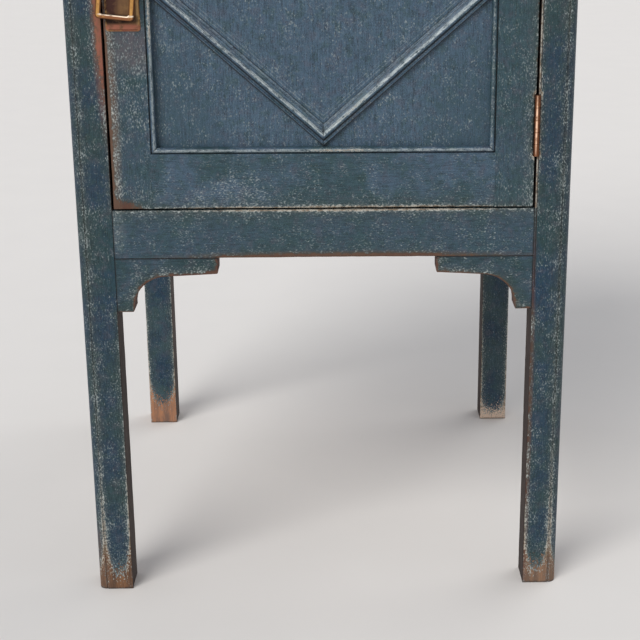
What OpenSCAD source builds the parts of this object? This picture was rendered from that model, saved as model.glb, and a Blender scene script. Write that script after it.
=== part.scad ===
// Bedside pot cupboard: a painted joined carcase on four square legs, with one
// framed door. The door panel carries a mitred lozenge moulding inside a planted
// bead. Shaped brackets fill the corners under the front rail.
// Millimetres. X is across, +Y runs from the door to the back, +Z is up.
// The origin is on the floor, under the middle of the top board.

/* [Carcase] */
// Width over the legs
body_w = 410; // [380:1:460]
// Depth over the legs
body_d = 427; // [360:1:480]
// Side of each square leg
leg_w = 30; // [27:1:36]
// Height from the floor to the lower rails
clear_h = 307; // [260:1:340]
// Height of the lower rails
rail_h = 41; // [38:1:55]
// Height of the upper rails
top_rail_h = 42; // [38:1:55]
// Thickness of the rails
rail_t = 22; // [20:0.5:24]
// Set-back of the side and back rails from the faces of the legs
rail_set = 2; // [0.5:0.5:2.5]
// Length of the tenons of the front and back rails
tenon_l = 18; // [12:1:20]
// Thickness of the tenons, and of the side panels and back boards
tenon_t = 8; // [6:0.5:8.5]
// Depth of the grooves that hold the side panels and back boards
groove_d = 8; // [5:0.5:9]
// Number of boards in the back
back_count = 4; // [3:1:5]
// Thickness of the bottom board
bottom_t = 16; // [12:1:19]
// Side of the bearers under the bottom board
bearer_w = 18; // [14:1:20]
// Width of the moulded corner of each front leg
leg_mould = 7.5; // [6:0.5:9]

/* [Top board] */
// Thickness of the top board
top_t = 20; // [18:1:26]
// Overhang of the top board at the front and sides
top_over = 14; // [12:1:20]
// Radius of the rounded edge of the top board
top_round = 9; // [6:0.5:10]
// Fillet left above the rounded edge
top_fillet = 3; // [1.5:0.5:4]

/* [Brackets] */
// Length of the left bracket along the rail
bracket_left_l = 85.5; // [60:0.5:110]
// Length of the right bracket along the rail
bracket_right_l = 81.5; // [60:0.5:110]
// Height of a bracket at its tip
bracket_tip = 13.7; // [10:0.1:18]
// Thickness of the brackets
bracket_t = 22; // [14:0.5:24]
// Width of a bracket at its foot
bracket_foot = 14.4; // [10:0.1:20]
// Radius of the hollow curve of a bracket
bracket_r = 28; // [18:0.5:34]
// Drop of a bracket's lower edge from its tip to the curve
bracket_fall = 2; // [0:0.5:3]
// Straight end of a bracket below its curve
bracket_toe = 2.8; // [2:0.1:12]
// Radius left on the lower corners of a bracket
bracket_ease = 1.4; // [0.4:0.1:2]

/* [Door] */
// Height of the door
door_h = 341; // [300:1:400]
// Thickness of the door frame
door_t = 20; // [18:0.5:22]
// Gap round the door
door_gap = 1.5; // [1:0.1:2.2]
// Width of the stiles, up to the bead
stile_w = 32.5; // [29:0.5:40]
// Height of the door rails, up to the bead
door_rail_h = 45.5; // [38:0.5:55]
// Width of the bead round the panel
bead_w = 5; // [4:0.25:7]
// Width of the sunk quirk beside the bead
quirk_w = 1; // [0.6:0.1:1.5]
// Depth of the quirk below the face of the door
quirk_d = 2; // [1:0.25:3]
// How far the bead stands proud of the door
bead_proud = 0.8; // [0.2:0.1:1.2]
// Depth of the panel below the face of the door
panel_sink = 7; // [6:0.25:8]
// Thickness of the door panel
panel_t = 6; // [5:0.5:7]
// Width of the lozenge moulding
lozenge_w = 14; // [12:0.5:18]
// Height of the lozenge moulding on the panel
lozenge_h = 4.2; // [3.4:0.1:5]
// Clearance between the lozenge and the bead
lozenge_gap = 0.3; // [0.1:0.1:0.6]

/* [Hinges] */
// Length of each hinge
hinge_l = 50; // [40:1:60]
// Distance of each hinge from the end of the door
hinge_inset = 43; // [30:1:60]
// Width of a hinge leaf
leaf_w = 15; // [12:0.5:16]
// Thickness of a hinge leaf
leaf_t = 1.4; // [1:0.1:1.6]
// Gap between the two leaves when the door is shut
leaf_gap = 0.7; // [0.5:0.1:1]
// Radius of the hinge knuckles
knuckle_r = 2.7; // [2.6:0.1:3.4]
// Radius of the hinge pin
pin_r = 1.3; // [1:0.1:1.4]
// Distance of the hinge pin in front of the door
pin_out = 1.5; // [1.2:0.1:2.5]
// Number of knuckles on a hinge
knuckle_count = 5; // [3:2:7]

/* [Handle] */
// Width of the handle plate
plate_w = 27.5; // [24:0.5:30]
// Height of the handle plate
plate_h = 61; // [54:1:70]
// Thickness of the handle plate
plate_t = 2.2; // [1.6:0.1:3]
// Middle of the plate from the edge of the door
plate_x = 15.7; // [15.5:0.1:16.5]
// Bottom of the plate above the bottom of the door
plate_z = 145; // [120:1:160]
// Width over the bail
bail_w = 30.5; // [28.5:0.5:32]
// Length of the bail from its pivot to the middle of its lower bar
bail_l = 40.5; // [34:0.5:42]
// Width of the two side bars of the bail
bail_bar = 4.4; // [3.6:0.1:4.8]
// Height of the lower bar of the bail
bail_grip = 3.4; // [2.8:0.1:4.8]
// Thickness of the bars from front to back
bail_t = 3.6; // [3:0.1:4.4]
// Lean of the bail, in degrees
bail_lean = 6.2; // [0:0.2:7]
// Sideways shift of the bail on its posts
bail_shift = 1.3; // [0:0.1:1.3]
// Gap between the bail and the plate
bail_gap = 2; // [1.4:0.1:2.6]
// Distance between the two posts
post_space = 12.4; // [11:0.2:12.4]
// Radius of the head of a post
post_r = 2.4; // [2.2:0.1:2.5]
// Radius of the pivots at the ends of the bail
pivot_r = 1.2; // [0.9:0.1:1.4]

/* [Catch] */
// Width of the stop lath behind the door
stop_w = 6; // [5:0.5:7]
// Distance of the catch below the middle of the door
catch_low = 45; // [35:1:100]
// Height of the catch
catch_h = 46; // [36:1:56]
// Width of the catch
catch_w = 12; // [10:0.5:14]
// Depth of the catch
catch_d = 14; // [12:0.5:18]
// Width of the keeper plate on the door
keeper_w = 16; // [14:0.5:20]
// Height of the keeper plate
keeper_h = 30; // [24:1:36]

/* [Fastenings] */
// Clearance round tenons, tongues and panels
fit = 0.1; // [0.05:0.05:0.2]
// Clearance round pins and screws
pin_fit = 0.06; // [0.04:0.01:0.08]
// Clearance between the door and what it shuts against
shut_gap = 0.4; // [0.2:0.1:1]
// Radius of a wood screw
screw_r = 1.75; // [1.5:0.05:2]
// Radius of a small brass screw
small_screw_r = 1.1; // [0.9:0.05:1.3]
// Length of the screws in the buttons and bearers
screw_l = 25; // [22:1:26]
// Length of the small brass screws
small_screw_l = 11; // [8:0.5:12]
// Length of a button that holds the top down
button_l = 30; // [24:1:34]
// Width of a button
button_w = 24; // [20:1:30]
// Height of a button
button_h = 14; // [12:0.5:16]

/* [Hidden] */
$fn = 40;

paint = [0.16, 0.28, 0.35];
bare_wood = [0.62, 0.45, 0.29];
brass = [0.72, 0.52, 0.24];
steel = [0.62, 0.62, 0.60];

// How far a cut runs past the face it starts from
over = 1;
arris_r = 0.8;
corner_steps = 4;
curve_steps = 24;
mortise_wall = 2;
mortise_end = 0.8;
tenon_edge = 5;
panel_play = 1;
notch_play = 0.5;

// Places across the carcase
half_w = body_w / 2;
inner_x = half_w - leg_w;
rail_x = [half_w - rail_set - rail_t, half_w - rail_set];
rail_mid_x = (rail_x[0] + rail_x[1]) / 2;

// Places from front to back
face_y = (top_over - body_d) / 2;
rear_y = face_y + body_d;
front_leg_y = [face_y, face_y + leg_w];
back_leg_y = [rear_y - leg_w, rear_y];
front_rail_y = [face_y, face_y + rail_t];
back_rail_y = [rear_y - rail_set - rail_t, rear_y - rail_set];
side_tenon_l = leg_w - rail_set - (rail_t + tenon_t) / 2 - mortise_wall;

// Heights
lower_z = [clear_h, clear_h + rail_h];
door_z = [lower_z[1] + door_gap, lower_z[1] + door_gap + door_h];
upper_z = [door_z[1] + door_gap, door_z[1] + door_gap + top_rail_h];
leg_h = upper_z[1];
top_step = 1;
lower_tenon_z = [lower_z[0] + tenon_edge, lower_z[1] - groove_d];
upper_tenon_z = [upper_z[0] + groove_d, upper_z[1] - tenon_edge];
panel_z = [lower_z[1] - groove_d + panel_play, upper_z[0] + groove_d - panel_play];

// The door
door_x = inner_x - door_gap;
door_back = face_y + door_t;
door_mid_z = (door_z[0] + door_z[1]) / 2;
frame_half = [door_x - stile_w, door_h / 2 - door_rail_h];
sight_half = [frame_half[0] - bead_w, frame_half[1] - bead_w];
panel_face = face_y + panel_sink;
panel_back = panel_face + panel_t;
door_groove_d = 8;
door_tenon_l = 24;
door_tenon_edge = 9;
lozenge_half = [sight_half[0] - lozenge_gap, sight_half[1] - lozenge_gap];
lozenge_angle = atan2(lozenge_half[1], lozenge_half[0]);

// The hinges
pin_x = inner_x - door_gap / 2;
pin_y = face_y - pin_out;
hinge_low_z = door_z[0] + hinge_inset;
hinge_high_z = door_z[1] - hinge_inset - hinge_l;
knuckle_l = hinge_l / knuckle_count;
knuckle_play = 0.15;
leaf_end_y = face_y + leaf_w;
leaf_screw_in = 8;
leaf_screw_near = 6.5;
leaf_screw_far = leaf_w - 2.8;
leaf_screws = [[leaf_screw_near, leaf_screw_in], [leaf_screw_far, hinge_l / 2],
               [leaf_screw_near, hinge_l - leaf_screw_in]];

// The handle
plate_mid_x = plate_x - door_x;
plate_low_z = door_z[0] + plate_z;
plate_face = face_y - plate_t;
pivot_y = plate_face - bail_gap - bail_t / 2;
pivot_drop = 9.5;
pivot_z = plate_low_z + plate_h - pivot_drop;
post_collar_r = 3.1;
post_collar_t = 1.2;
shank_r = 1.6;
nut_t = 3;
nut_r = 3.4;
shank_end = door_back + nut_t + over;
bail_corner_r = 3;
bail_inner_r = 1.6;
pivot_seat = 1.44;

// The catch
stop_y = [door_back + shut_gap, front_leg_y[1]];
stop_x = [stop_w - inner_x, -inner_x];
keeper_t = 1.2;
keeper_corner_r = 2;
pole_out = 0.8;
pole_t = 1.2;
pole_in = 3.6;
ear_l = 8;
ear_t = 3;
catch_front = door_back + keeper_t + shut_gap + pole_out;
catch_x = [stop_x[0], stop_x[0] + catch_w];
catch_mid_z = door_mid_z - catch_low;
catch_z = [catch_mid_z - catch_h / 2, catch_mid_z + catch_h / 2];
keeper_x = [stop_x[0] + shut_gap, stop_x[0] + shut_gap + keeper_w];
keeper_z = [catch_mid_z - keeper_h / 2, catch_mid_z + keeper_h / 2];

// The fastenings
head_ratio = 2;
slot_w_ratio = 0.45;
slot_d_ratio = 0.4;
bearer_z = [lower_z[1] - bottom_t - bearer_w, lower_z[1] - bottom_t];
bearer_screw_in = 77;
bearer_screw_y = [front_leg_y[1] + bearer_screw_in, back_leg_y[0] - bearer_screw_in];
bearer_screw_bite = 12;
bearer_screw_l = bearer_w + bearer_screw_bite;
lip_l = 6;
lip_h = 6;
button_gap = 1;
button_slot_play = 1;
button_in = 98;
button_side_y = [front_leg_y[1] + button_in, back_leg_y[0] - button_in];
button_slot_half = button_w / 2 + button_slot_play;

// ---- Shapes that repeat ----

// A run of points on an arc about a centre
function arc(centre, r, a0, a1, steps) =
    [for (i = [0:steps]) centre + r * [cos(a0 + (a1 - a0) * i / steps),
                                       sin(a0 + (a1 - a0) * i / steps)]];

// One rounded corner, or a sharp one where its radius is nothing
function soft_corner(centre, r, a0) =
    r > 0 ? arc(centre, r, a0, a0 + 90, corner_steps) : [centre];

// A rectangle with a radius for each corner, from low-low round to low-high
function soft_rect(x, y, r) = concat(
    soft_corner([x[0] + r[0], y[0] + r[0]], r[0], 180),
    soft_corner([x[1] - r[1], y[0] + r[1]], r[1], 270),
    soft_corner([x[1] - r[2], y[1] - r[2]], r[2], 0),
    soft_corner([x[0] + r[3], y[1] - r[3]], r[3], 90));

// A block between two places on each axis
module span(x, y, z) {
    translate([x[0], y[0], z[0]])
        cube([x[1] - x[0], y[1] - y[0], z[1] - z[0]]);
}

// A profile in Y and Z drawn out along X
module along_x(x) {
    translate([x[0], 0, 0])
        rotate([90, 0, 90])
            linear_extrude(x[1] - x[0]) children();
}

// A profile in X and Z drawn out along Y
module along_y(y) {
    translate([0, y[1], 0])
        rotate([90, 0, 0])
            linear_extrude(y[1] - y[0]) children();
}

// A profile in X and Y drawn out along Z
module along_z(z) {
    translate([0, 0, z[0]])
        linear_extrude(z[1] - z[0]) children();
}

// A copy on the other side of the middle
module other_side() {
    mirror([1, 0, 0]) children();
}

// A countersunk screw along +Z, its head's flat at the origin
module screw(r, l, play) {
    cylinder(r = r + play, h = l + play);
    cylinder(r1 = r * head_ratio + play, r2 = r + play, h = r * (head_ratio - 1) + play);
}

// A driver slot across the head of a screw at the origin
module screw_slot(r) {
    slot_w = r * slot_w_ratio;
    translate([-r * head_ratio, -slot_w / 2, -over])
        cube([r * head_ratio * 2, slot_w, over + r * slot_d_ratio]);
}

// A whole slotted screw
module slotted_screw(r, l) {
    difference() {
        screw(r, l, 0);
        screw_slot(r);
    }
}

// ---- Legs ----

// Section of a front leg, with a quirk and a quarter round on its outer corner
module front_leg_section() {
    quirk_x = half_w - leg_mould;
    round_x = quirk_x + quirk_w;
    round_r = half_w - round_x;
    polygon(concat(
        soft_corner([inner_x + arris_r, front_leg_y[0] + arris_r], arris_r, 180),
        [[quirk_x, front_leg_y[0]], [quirk_x, front_leg_y[0] + quirk_d],
         [round_x, front_leg_y[0] + quirk_d], [round_x, front_leg_y[0] + arris_r / 2]],
        arc([round_x, front_leg_y[0] + round_r + arris_r / 2], round_r, -90, 0, corner_steps * 2),
        soft_corner([half_w - arris_r, front_leg_y[1] - arris_r], arris_r, 0),
        [[inner_x, front_leg_y[1]]]));
}

// Mortises and grooves of the side rails and side panel, in any leg
module side_joints() {
    x = [rail_mid_x - tenon_t / 2 - fit, rail_mid_x + tenon_t / 2 + fit];
    y = [front_leg_y[1] - side_tenon_l - mortise_end, back_leg_y[0] + side_tenon_l + mortise_end];
    for (z = [lower_tenon_z, upper_tenon_z])
        span(x, y, [z[0] - fit, z[1] + fit]);
    span([x[0], rail_mid_x + tenon_t / 2],
         [front_leg_y[1] - groove_d, back_leg_y[0] + groove_d],
         [panel_z[0] - panel_play, panel_z[1] + panel_play]);
}

// Mortises of a cross rail in the inner face of a leg
module cross_mortises(y) {
    mid = (y[0] + y[1]) / 2;
    for (z = [lower_tenon_z, upper_tenon_z])
        span([inner_x - over, inner_x + tenon_l + mortise_end],
             [mid - tenon_t / 2 - fit, mid + tenon_t / 2 + fit],
             [z[0] - fit, z[1] + fit]);
}

module front_leg() {
    difference() {
        along_z([0, leg_h]) front_leg_section();
        side_joints();
        cross_mortises(front_rail_y);
    }
}

module back_leg() {
    mid = (back_rail_y[0] + back_rail_y[1]) / 2;
    difference() {
        along_z([0, leg_h])
            polygon(soft_rect([inner_x, half_w], back_leg_y,
                              [arris_r, arris_r, arris_r, arris_r]));
        side_joints();
        cross_mortises(back_rail_y);
        span([inner_x - over, inner_x + groove_d],
             [mid - tenon_t / 2 - fit, mid + tenon_t / 2],
             [panel_z[0] - panel_play, panel_z[1] + panel_play]);
    }
}

module leg_front_left() {
    color(paint)
        difference() {
            other_side() front_leg();
            catch_screw_places() screw(small_screw_r, small_screw_l, pin_fit);
        }
}

module leg_front_right() {
    color(paint)
        difference() {
            front_leg();
            hinge_housings();
            for (z = [hinge_low_z, hinge_high_z])
                leaf_screw_places(z) screw(small_screw_r, small_screw_l, pin_fit);
        }
}

module leg_back_left() {
    color(paint) other_side() back_leg();
}

module leg_back_right() {
    color(paint) back_leg();
}

// ---- Rails ----

// A rail between two legs of the same row, with a tenon at each end
module cross_rail(y, z, tenon_z) {
    mid = (y[0] + y[1]) / 2;
    along_x([-inner_x, inner_x])
        polygon(soft_rect(y, z, [arris_r, arris_r, arris_r, arris_r]));
    span([-inner_x - tenon_l, inner_x + tenon_l],
         [mid - tenon_t / 2, mid + tenon_t / 2], tenon_z);
}

// A slot in a rail's inner face for the lip of a top button, along X or Y
module button_slot(x, y) {
    span(x, y, [leg_h - button_h - fit, leg_h - button_h + lip_h + fit]);
}

module front_rail_lower() {
    color(paint) cross_rail(front_rail_y, lower_z, lower_tenon_z);
}

module front_rail_upper() {
    color(paint)
        difference() {
            cross_rail(front_rail_y, upper_z, upper_tenon_z);
            button_slot([-button_slot_half, button_slot_half],
                        [front_rail_y[1] - lip_l - button_slot_play, front_rail_y[1] + over]);
        }
}

module back_rail_lower() {
    color(paint)
        difference() {
            cross_rail(back_rail_y, lower_z, lower_tenon_z);
            back_groove();
        }
}

module back_rail_upper() {
    color(paint)
        difference() {
            cross_rail(back_rail_y, upper_z, upper_tenon_z);
            back_groove();
            button_slot([-button_slot_half, button_slot_half],
                        [back_rail_y[0] - over, back_rail_y[0] + lip_l + button_slot_play]);
        }
}

// The groove for the back boards, in both back rails
module back_groove() {
    mid = (back_rail_y[0] + back_rail_y[1]) / 2;
    span([-inner_x, inner_x], [mid - tenon_t / 2 - fit, mid + tenon_t / 2],
         [panel_z[0] - panel_play, panel_z[1] + panel_play]);
}

// A rail between a front and a back leg, on the right
module side_rail(z, tenon_z) {
    difference() {
        union() {
            along_y([front_leg_y[1], back_leg_y[0]])
                polygon(soft_rect(rail_x, z, [arris_r, arris_r, arris_r, arris_r]));
            span([rail_mid_x - tenon_t / 2, rail_mid_x + tenon_t / 2],
                 [front_leg_y[1] - side_tenon_l, back_leg_y[0] + side_tenon_l], tenon_z);
        }
        span([rail_mid_x - tenon_t / 2 - fit, rail_mid_x + tenon_t / 2],
             [front_leg_y[1], back_leg_y[0]],
             [panel_z[0] - panel_play, panel_z[1] + panel_play]);
    }
}

module side_rail_lower() {
    difference() {
        side_rail(lower_z, lower_tenon_z);
        bearer_screw_places() screw(screw_r, bearer_screw_l, pin_fit);
    }
}

module side_rail_upper() {
    difference() {
        side_rail(upper_z, upper_tenon_z);
        for (y = button_side_y)
            button_slot([rail_x[0] - over, rail_x[0] + lip_l + button_slot_play],
                        [y - button_slot_half, y + button_slot_half]);
    }
}

module side_rail_lower_left() {
    color(paint) other_side() side_rail_lower();
}

module side_rail_lower_right() {
    color(paint) side_rail_lower();
}

module side_rail_upper_left() {
    color(paint) other_side() side_rail_upper();
}

module side_rail_upper_right() {
    color(paint) side_rail_upper();
}

// ---- Panels and boards ----

module side_panel() {
    span([rail_mid_x - tenon_t / 2, rail_mid_x + tenon_t / 2],
         [front_leg_y[1] - groove_d + panel_play, back_leg_y[0] + groove_d - panel_play],
         panel_z);
}

module side_panel_left() {
    color(paint) other_side() side_panel();
}

module side_panel_right() {
    color(paint) side_panel();
}

// Upright boards in the back, each tongued into the next
module back_boards() {
    mid = (back_rail_y[0] + back_rail_y[1]) / 2;
    reach = inner_x + groove_d - panel_play;
    board_w = 2 * reach / back_count;
    tongue_l = 5;
    tongue_t = tenon_t / 3;
    bevel = 1.2;
    y = [mid - tenon_t / 2, mid + tenon_t / 2];
    color(paint)
        for (i = [0:back_count - 1]) {
            x = [-reach + i * board_w, -reach + (i + 1) * board_w];
            difference() {
                union() {
                    along_z(panel_z)
                        polygon([[x[0], y[0]], [x[1], y[0]], [x[1], y[1] - bevel],
                                 [x[1] - bevel, y[1]], [x[0] + bevel, y[1]],
                                 [x[0], y[1] - bevel]]);
                    if (i < back_count - 1)
                        span([x[1] - over, x[1] + tongue_l],
                             [mid - tongue_t / 2, mid + tongue_t / 2], panel_z);
                }
                if (i > 0)
                    span([x[0] - over, x[0] + tongue_l + panel_play],
                         [mid - tongue_t / 2 - fit, mid + tongue_t / 2 + fit],
                         [panel_z[0] - over, panel_z[1] + over]);
            }
        }
}

// The floor of the cupboard, notched round the legs and the foot of the stop lath
module bottom_board() {
    cut_z = [bearer_z[1] - over, lower_z[1] + over];
    color(bare_wood)
        difference() {
            span([-rail_x[0], rail_x[0]], [front_rail_y[1], back_rail_y[0]],
                 [bearer_z[1], lower_z[1]]);
            for (s = [-1, 1])
                for (y = [[front_leg_y[0], front_leg_y[1] + notch_play],
                          [back_leg_y[0] - notch_play, back_leg_y[1]]])
                    translate([s * (half_w + inner_x) / 2, 0, 0])
                        span([-leg_w / 2 - notch_play, leg_w / 2 + notch_play], y, cut_z);
            span([-inner_x - notch_play, stop_x[0] + fit],
                 [front_rail_y[1] - over, stop_y[1] + notch_play], cut_z);
        }
}

module bearer() {
    difference() {
        span([rail_x[0] - bearer_w, rail_x[0]], [front_leg_y[1], back_leg_y[0]], bearer_z);
        bearer_screw_places() screw(screw_r, bearer_screw_l, pin_fit);
    }
}

// Screws that hold the bearer to the side rail, from inside
module bearer_screw_places() {
    for (y = bearer_screw_y)
        translate([rail_x[0] - bearer_w, y, (bearer_z[0] + bearer_z[1]) / 2])
            rotate([0, 90, 0]) children();
}

module bearer_left() {
    color(bare_wood) other_side() bearer();
}

module bearer_right() {
    color(bare_wood) bearer();
}

module bearer_screws() {
    color(steel)
        for (s = [0, 1])
            mirror([s, 0, 0])
                bearer_screw_places() slotted_screw(screw_r, bearer_screw_l);
}

// ---- Brackets ----

// A right-hand bracket: a nearly level edge, then a hollow quarter round
module bracket(l) {
    tip = [inner_x - l, lower_z[0] - bracket_tip];
    foot_x = inner_x - bracket_foot;
    curve = [foot_x - bracket_r, tip[1] - bracket_fall - bracket_r];
    foot = [foot_x, curve[1] - bracket_toe];
    along_y([face_y, face_y + bracket_t])
        polygon(concat(
            [[tip[0], lower_z[0]]],
            soft_corner(tip + [bracket_ease, bracket_ease], bracket_ease, 180),
            arc(curve, bracket_r, 90, 0, curve_steps),
            soft_corner(foot + [bracket_ease, bracket_ease], bracket_ease, 180),
            [[inner_x, foot[1]], [inner_x, lower_z[0]]]));
}

module bracket_right() {
    color(paint) bracket(bracket_right_l);
}

module bracket_left() {
    color(paint) other_side() bracket(bracket_left_l);
}

// ---- Top board ----

// Edge of the top board, drawn from the outermost edge inwards
function top_edge(reach) = concat(
    [[reach - arris_r, leg_h], [reach, leg_h + arris_r]],
    [[reach, leg_h + top_t - top_fillet - top_round]],
    arc([reach - top_round, leg_h + top_t - top_fillet - top_round], top_round, 0, 90,
        corner_steps * 3),
    [[reach - top_round - top_step, leg_h + top_t - top_fillet],
     [reach - top_round - top_step, leg_h + top_t]]);

// The other edge of a section, taken the other way round
function facing(points) =
    [for (i = [len(points) - 1:-1:0]) [-points[i][0], points[i][1]]];

module top_board() {
    reach_x = half_w + top_over;
    reach_y = (body_d + top_over) / 2;
    color(paint)
        difference() {
            intersection() {
                along_y([-reach_y, reach_y])
                    polygon(concat(top_edge(reach_x), facing(top_edge(reach_x))));
                along_x([-reach_x, reach_x])
                    polygon(concat([[reach_y, leg_h], [reach_y, leg_h + top_t]],
                                   facing(top_edge(reach_y))));
            }
            button_places() button_screw_place() screw(screw_r, screw_l, pin_fit);
        }
}

// Every place of a top button, its lip towards +X
module button_places() {
    for (y = button_side_y) {
        translate([rail_x[0], y, leg_h]) children();
        translate([-rail_x[0], y, leg_h]) rotate([0, 0, 180]) children();
    }
    translate([0, back_rail_y[0], leg_h]) rotate([0, 0, 90]) children();
    translate([0, front_rail_y[1], leg_h]) rotate([0, 0, -90]) children();
}

// The screw through a button, up into the top
module button_screw_place() {
    translate([-button_l / 2, 0, -button_h]) children();
}

module top_buttons() {
    color(bare_wood)
        button_places()
            difference() {
                union() {
                    span([-button_l, -button_gap], [-button_w / 2, button_w / 2],
                         [-button_h, 0]);
                    span([-button_gap - 1, lip_l], [-button_w / 2, button_w / 2],
                         [-button_h, lip_h - button_h]);
                }
                button_screw_place() screw(screw_r, screw_l, pin_fit);
            }
}

module button_screws() {
    color(steel)
        button_places() button_screw_place() slotted_screw(screw_r, screw_l);
}

// ---- Door stop and catch ----

// The lath that the door shuts against, its foot let down into the bottom board
module door_stop() {
    x = [-inner_x, stop_x[0]];
    color(paint)
        difference() {
            union() {
                span(x, stop_y, [lower_z[1], upper_z[0]]);
                span(x, [front_rail_y[1], stop_y[1]], [bearer_z[1], lower_z[1] + over]);
            }
            catch_screw_places() screw(small_screw_r, small_screw_l, pin_fit);
        }
}

// Screws through the catch and the stop lath into the leg
module catch_screw_places() {
    for (s = [-1, 1])
        translate([catch_x[0] + ear_t, (catch_front + stop_y[1]) / 2,
                   catch_mid_z + s * (catch_h - ear_l) / 2])
            rotate([0, -90, 0]) children();
}

// A cased magnet with a screw ear at each end
module catch_body() {
    color([0.32, 0.22, 0.15])
        difference() {
            union() {
                span(catch_x, [catch_front, catch_front + catch_d],
                     [catch_z[0] + ear_l, catch_z[1] - ear_l]);
                span([catch_x[0], catch_x[0] + ear_t], [catch_front, stop_y[1]], catch_z);
            }
            catch_screw_places() screw(small_screw_r, small_screw_l, pin_fit);
            pole_strips(pin_fit);
        }
}

// The two steel strips of the catch
module pole_strips(play) {
    for (x = [catch_x[0] + pole_in, catch_x[1] - pole_in])
        span([x - pole_t / 2 - play, x + pole_t / 2 + play],
             [catch_front - pole_out, catch_front + catch_d / 2 + play],
             [catch_z[0] + ear_l + ear_t - play, catch_z[1] - ear_l - ear_t + play]);
}

module catch_poles() {
    color(steel) pole_strips(0);
}

module catch_screws() {
    color(steel)
        catch_screw_places() slotted_screw(small_screw_r, small_screw_l);
}

// ---- Hinges ----

// Where a leaf lies across the pin; side 1 is the frame's, -1 the door's
function leaf_x(side) = let (a = pin_x + side * leaf_gap / 2, b = a + side * leaf_t)
    [min(a, b), max(a, b)];

// Housings for both hinges, cut through the leg and the edge of the door
module hinge_housings() {
    for (z = [hinge_low_z, hinge_high_z]) {
        span([leaf_x(-1)[0], leaf_x(1)[1]], [face_y - over, leaf_end_y],
             [z, z + hinge_l]);
        translate([pin_x, pin_y, z - knuckle_play])
            cylinder(r = knuckle_r + shut_gap, h = hinge_l + 2 * knuckle_play);
    }
}

// Heads of a leaf's screws, on the frame side
module leaf_screw_places(z) {
    for (p = leaf_screws)
        translate([leaf_x(1)[0], face_y + p[0], z + p[1]])
            rotate([0, 90, 0]) children();
}

// The same on the door side
module door_screw_places(z) {
    translate([2 * pin_x, 0, 0])
        other_side() leaf_screw_places(z) children();
}

// One knuckle of a hinge with the strip that joins it to its leaf
module knuckle(z, side) {
    difference() {
        union() {
            translate([pin_x, pin_y, z[0]]) cylinder(r = knuckle_r, h = z[1] - z[0]);
            span(leaf_x(side), [pin_y, face_y + knuckle_r], z);
        }
        translate([pin_x, pin_y, z[0] - over])
            cylinder(r = pin_r + pin_fit, h = z[1] - z[0] + 2 * over);
    }
}

// A leaf with every other knuckle
module hinge_leaf(z, side) {
    first = side > 0 ? 0 : 1;
    difference() {
        union() {
            span(leaf_x(side), [pin_y + knuckle_r + shut_gap, leaf_end_y], [z, z + hinge_l]);
            for (i = [first:2:knuckle_count - 1])
                knuckle([z + i * knuckle_l + (i > 0 ? knuckle_play : 0),
                         z + (i + 1) * knuckle_l - (i < knuckle_count - 1 ? knuckle_play : 0)],
                        side);
        }
        if (side > 0)
            leaf_screw_places(z) screw(small_screw_r, small_screw_l, pin_fit);
        else
            door_screw_places(z) screw(small_screw_r, small_screw_l, pin_fit);
    }
}

module hinge_pin(z) {
    translate([pin_x, pin_y, z]) cylinder(r = pin_r, h = hinge_l);
}

module hinge_leaf_frame_lower() {
    color(brass) hinge_leaf(hinge_low_z, 1);
}

module hinge_leaf_frame_upper() {
    color(brass) hinge_leaf(hinge_high_z, 1);
}

module hinge_leaf_door_lower() {
    color(brass) hinge_leaf(hinge_low_z, -1);
}

module hinge_leaf_door_upper() {
    color(brass) hinge_leaf(hinge_high_z, -1);
}

module hinge_pin_lower() {
    color(steel) hinge_pin(hinge_low_z);
}

module hinge_pin_upper() {
    color(steel) hinge_pin(hinge_high_z);
}

module hinge_frame_screws() {
    color(brass)
        for (z = [hinge_low_z, hinge_high_z])
            leaf_screw_places(z) slotted_screw(small_screw_r, small_screw_l);
}

module hinge_door_screws() {
    color(brass)
        for (z = [hinge_low_z, hinge_high_z])
            door_screw_places(z) slotted_screw(small_screw_r, small_screw_l);
}

// ---- Door frame ----

// The groove that holds the door panel, as wide as the member it is cut in needs
module door_groove(half_x) {
    half_z = frame_half[1] + door_groove_d;
    span([-half_x, half_x], [panel_face, panel_back + fit],
         [door_mid_z - half_z, door_mid_z + half_z]);
}

// Heights of the tenons on the lower or upper door rail
function door_tenon_z(side) = let (
    outer = door_mid_z + side * (door_h / 2 - door_tenon_edge),
    inner = door_mid_z + side * (frame_half[1] + door_groove_d))
    side > 0 ? [inner, outer] : [outer, inner];

// Both tenons of a door rail, or their mortises
module door_tenons(side, play, deeper) {
    mid = face_y + door_t / 2;
    z = door_tenon_z(side);
    for (s = [-1, 1])
        translate([s * (frame_half[0] + (door_tenon_l + deeper) / 2), 0, 0])
            span([-(door_tenon_l + deeper) / 2, (door_tenon_l + deeper) / 2],
                 [mid - panel_t / 2 - play, mid + panel_t / 2 + play],
                 [z[0] - play, z[1] + play]);
}

module door_stile() {
    difference() {
        along_z(door_z)
            polygon(soft_rect([frame_half[0], door_x], [face_y, door_back],
                              [0, arris_r, arris_r, 0]));
        door_groove(frame_half[0] + door_groove_d);
        for (side = [-1, 1])
            door_tenons(side, fit, mortise_end);
    }
}

module door_stile_left() {
    color(paint)
        difference() {
            other_side() door_stile();
            post_places()
                translate([0, 0, -over])
                    cylinder(r = shank_r + pin_fit, h = door_t + 2 * over);
            keeper_screw_place() screw(small_screw_r, small_screw_l, pin_fit);
        }
}

module door_stile_right() {
    color(paint)
        difference() {
            door_stile();
            hinge_housings();
            for (z = [hinge_low_z, hinge_high_z])
                door_screw_places(z) screw(small_screw_r, small_screw_l, pin_fit);
        }
}

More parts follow.
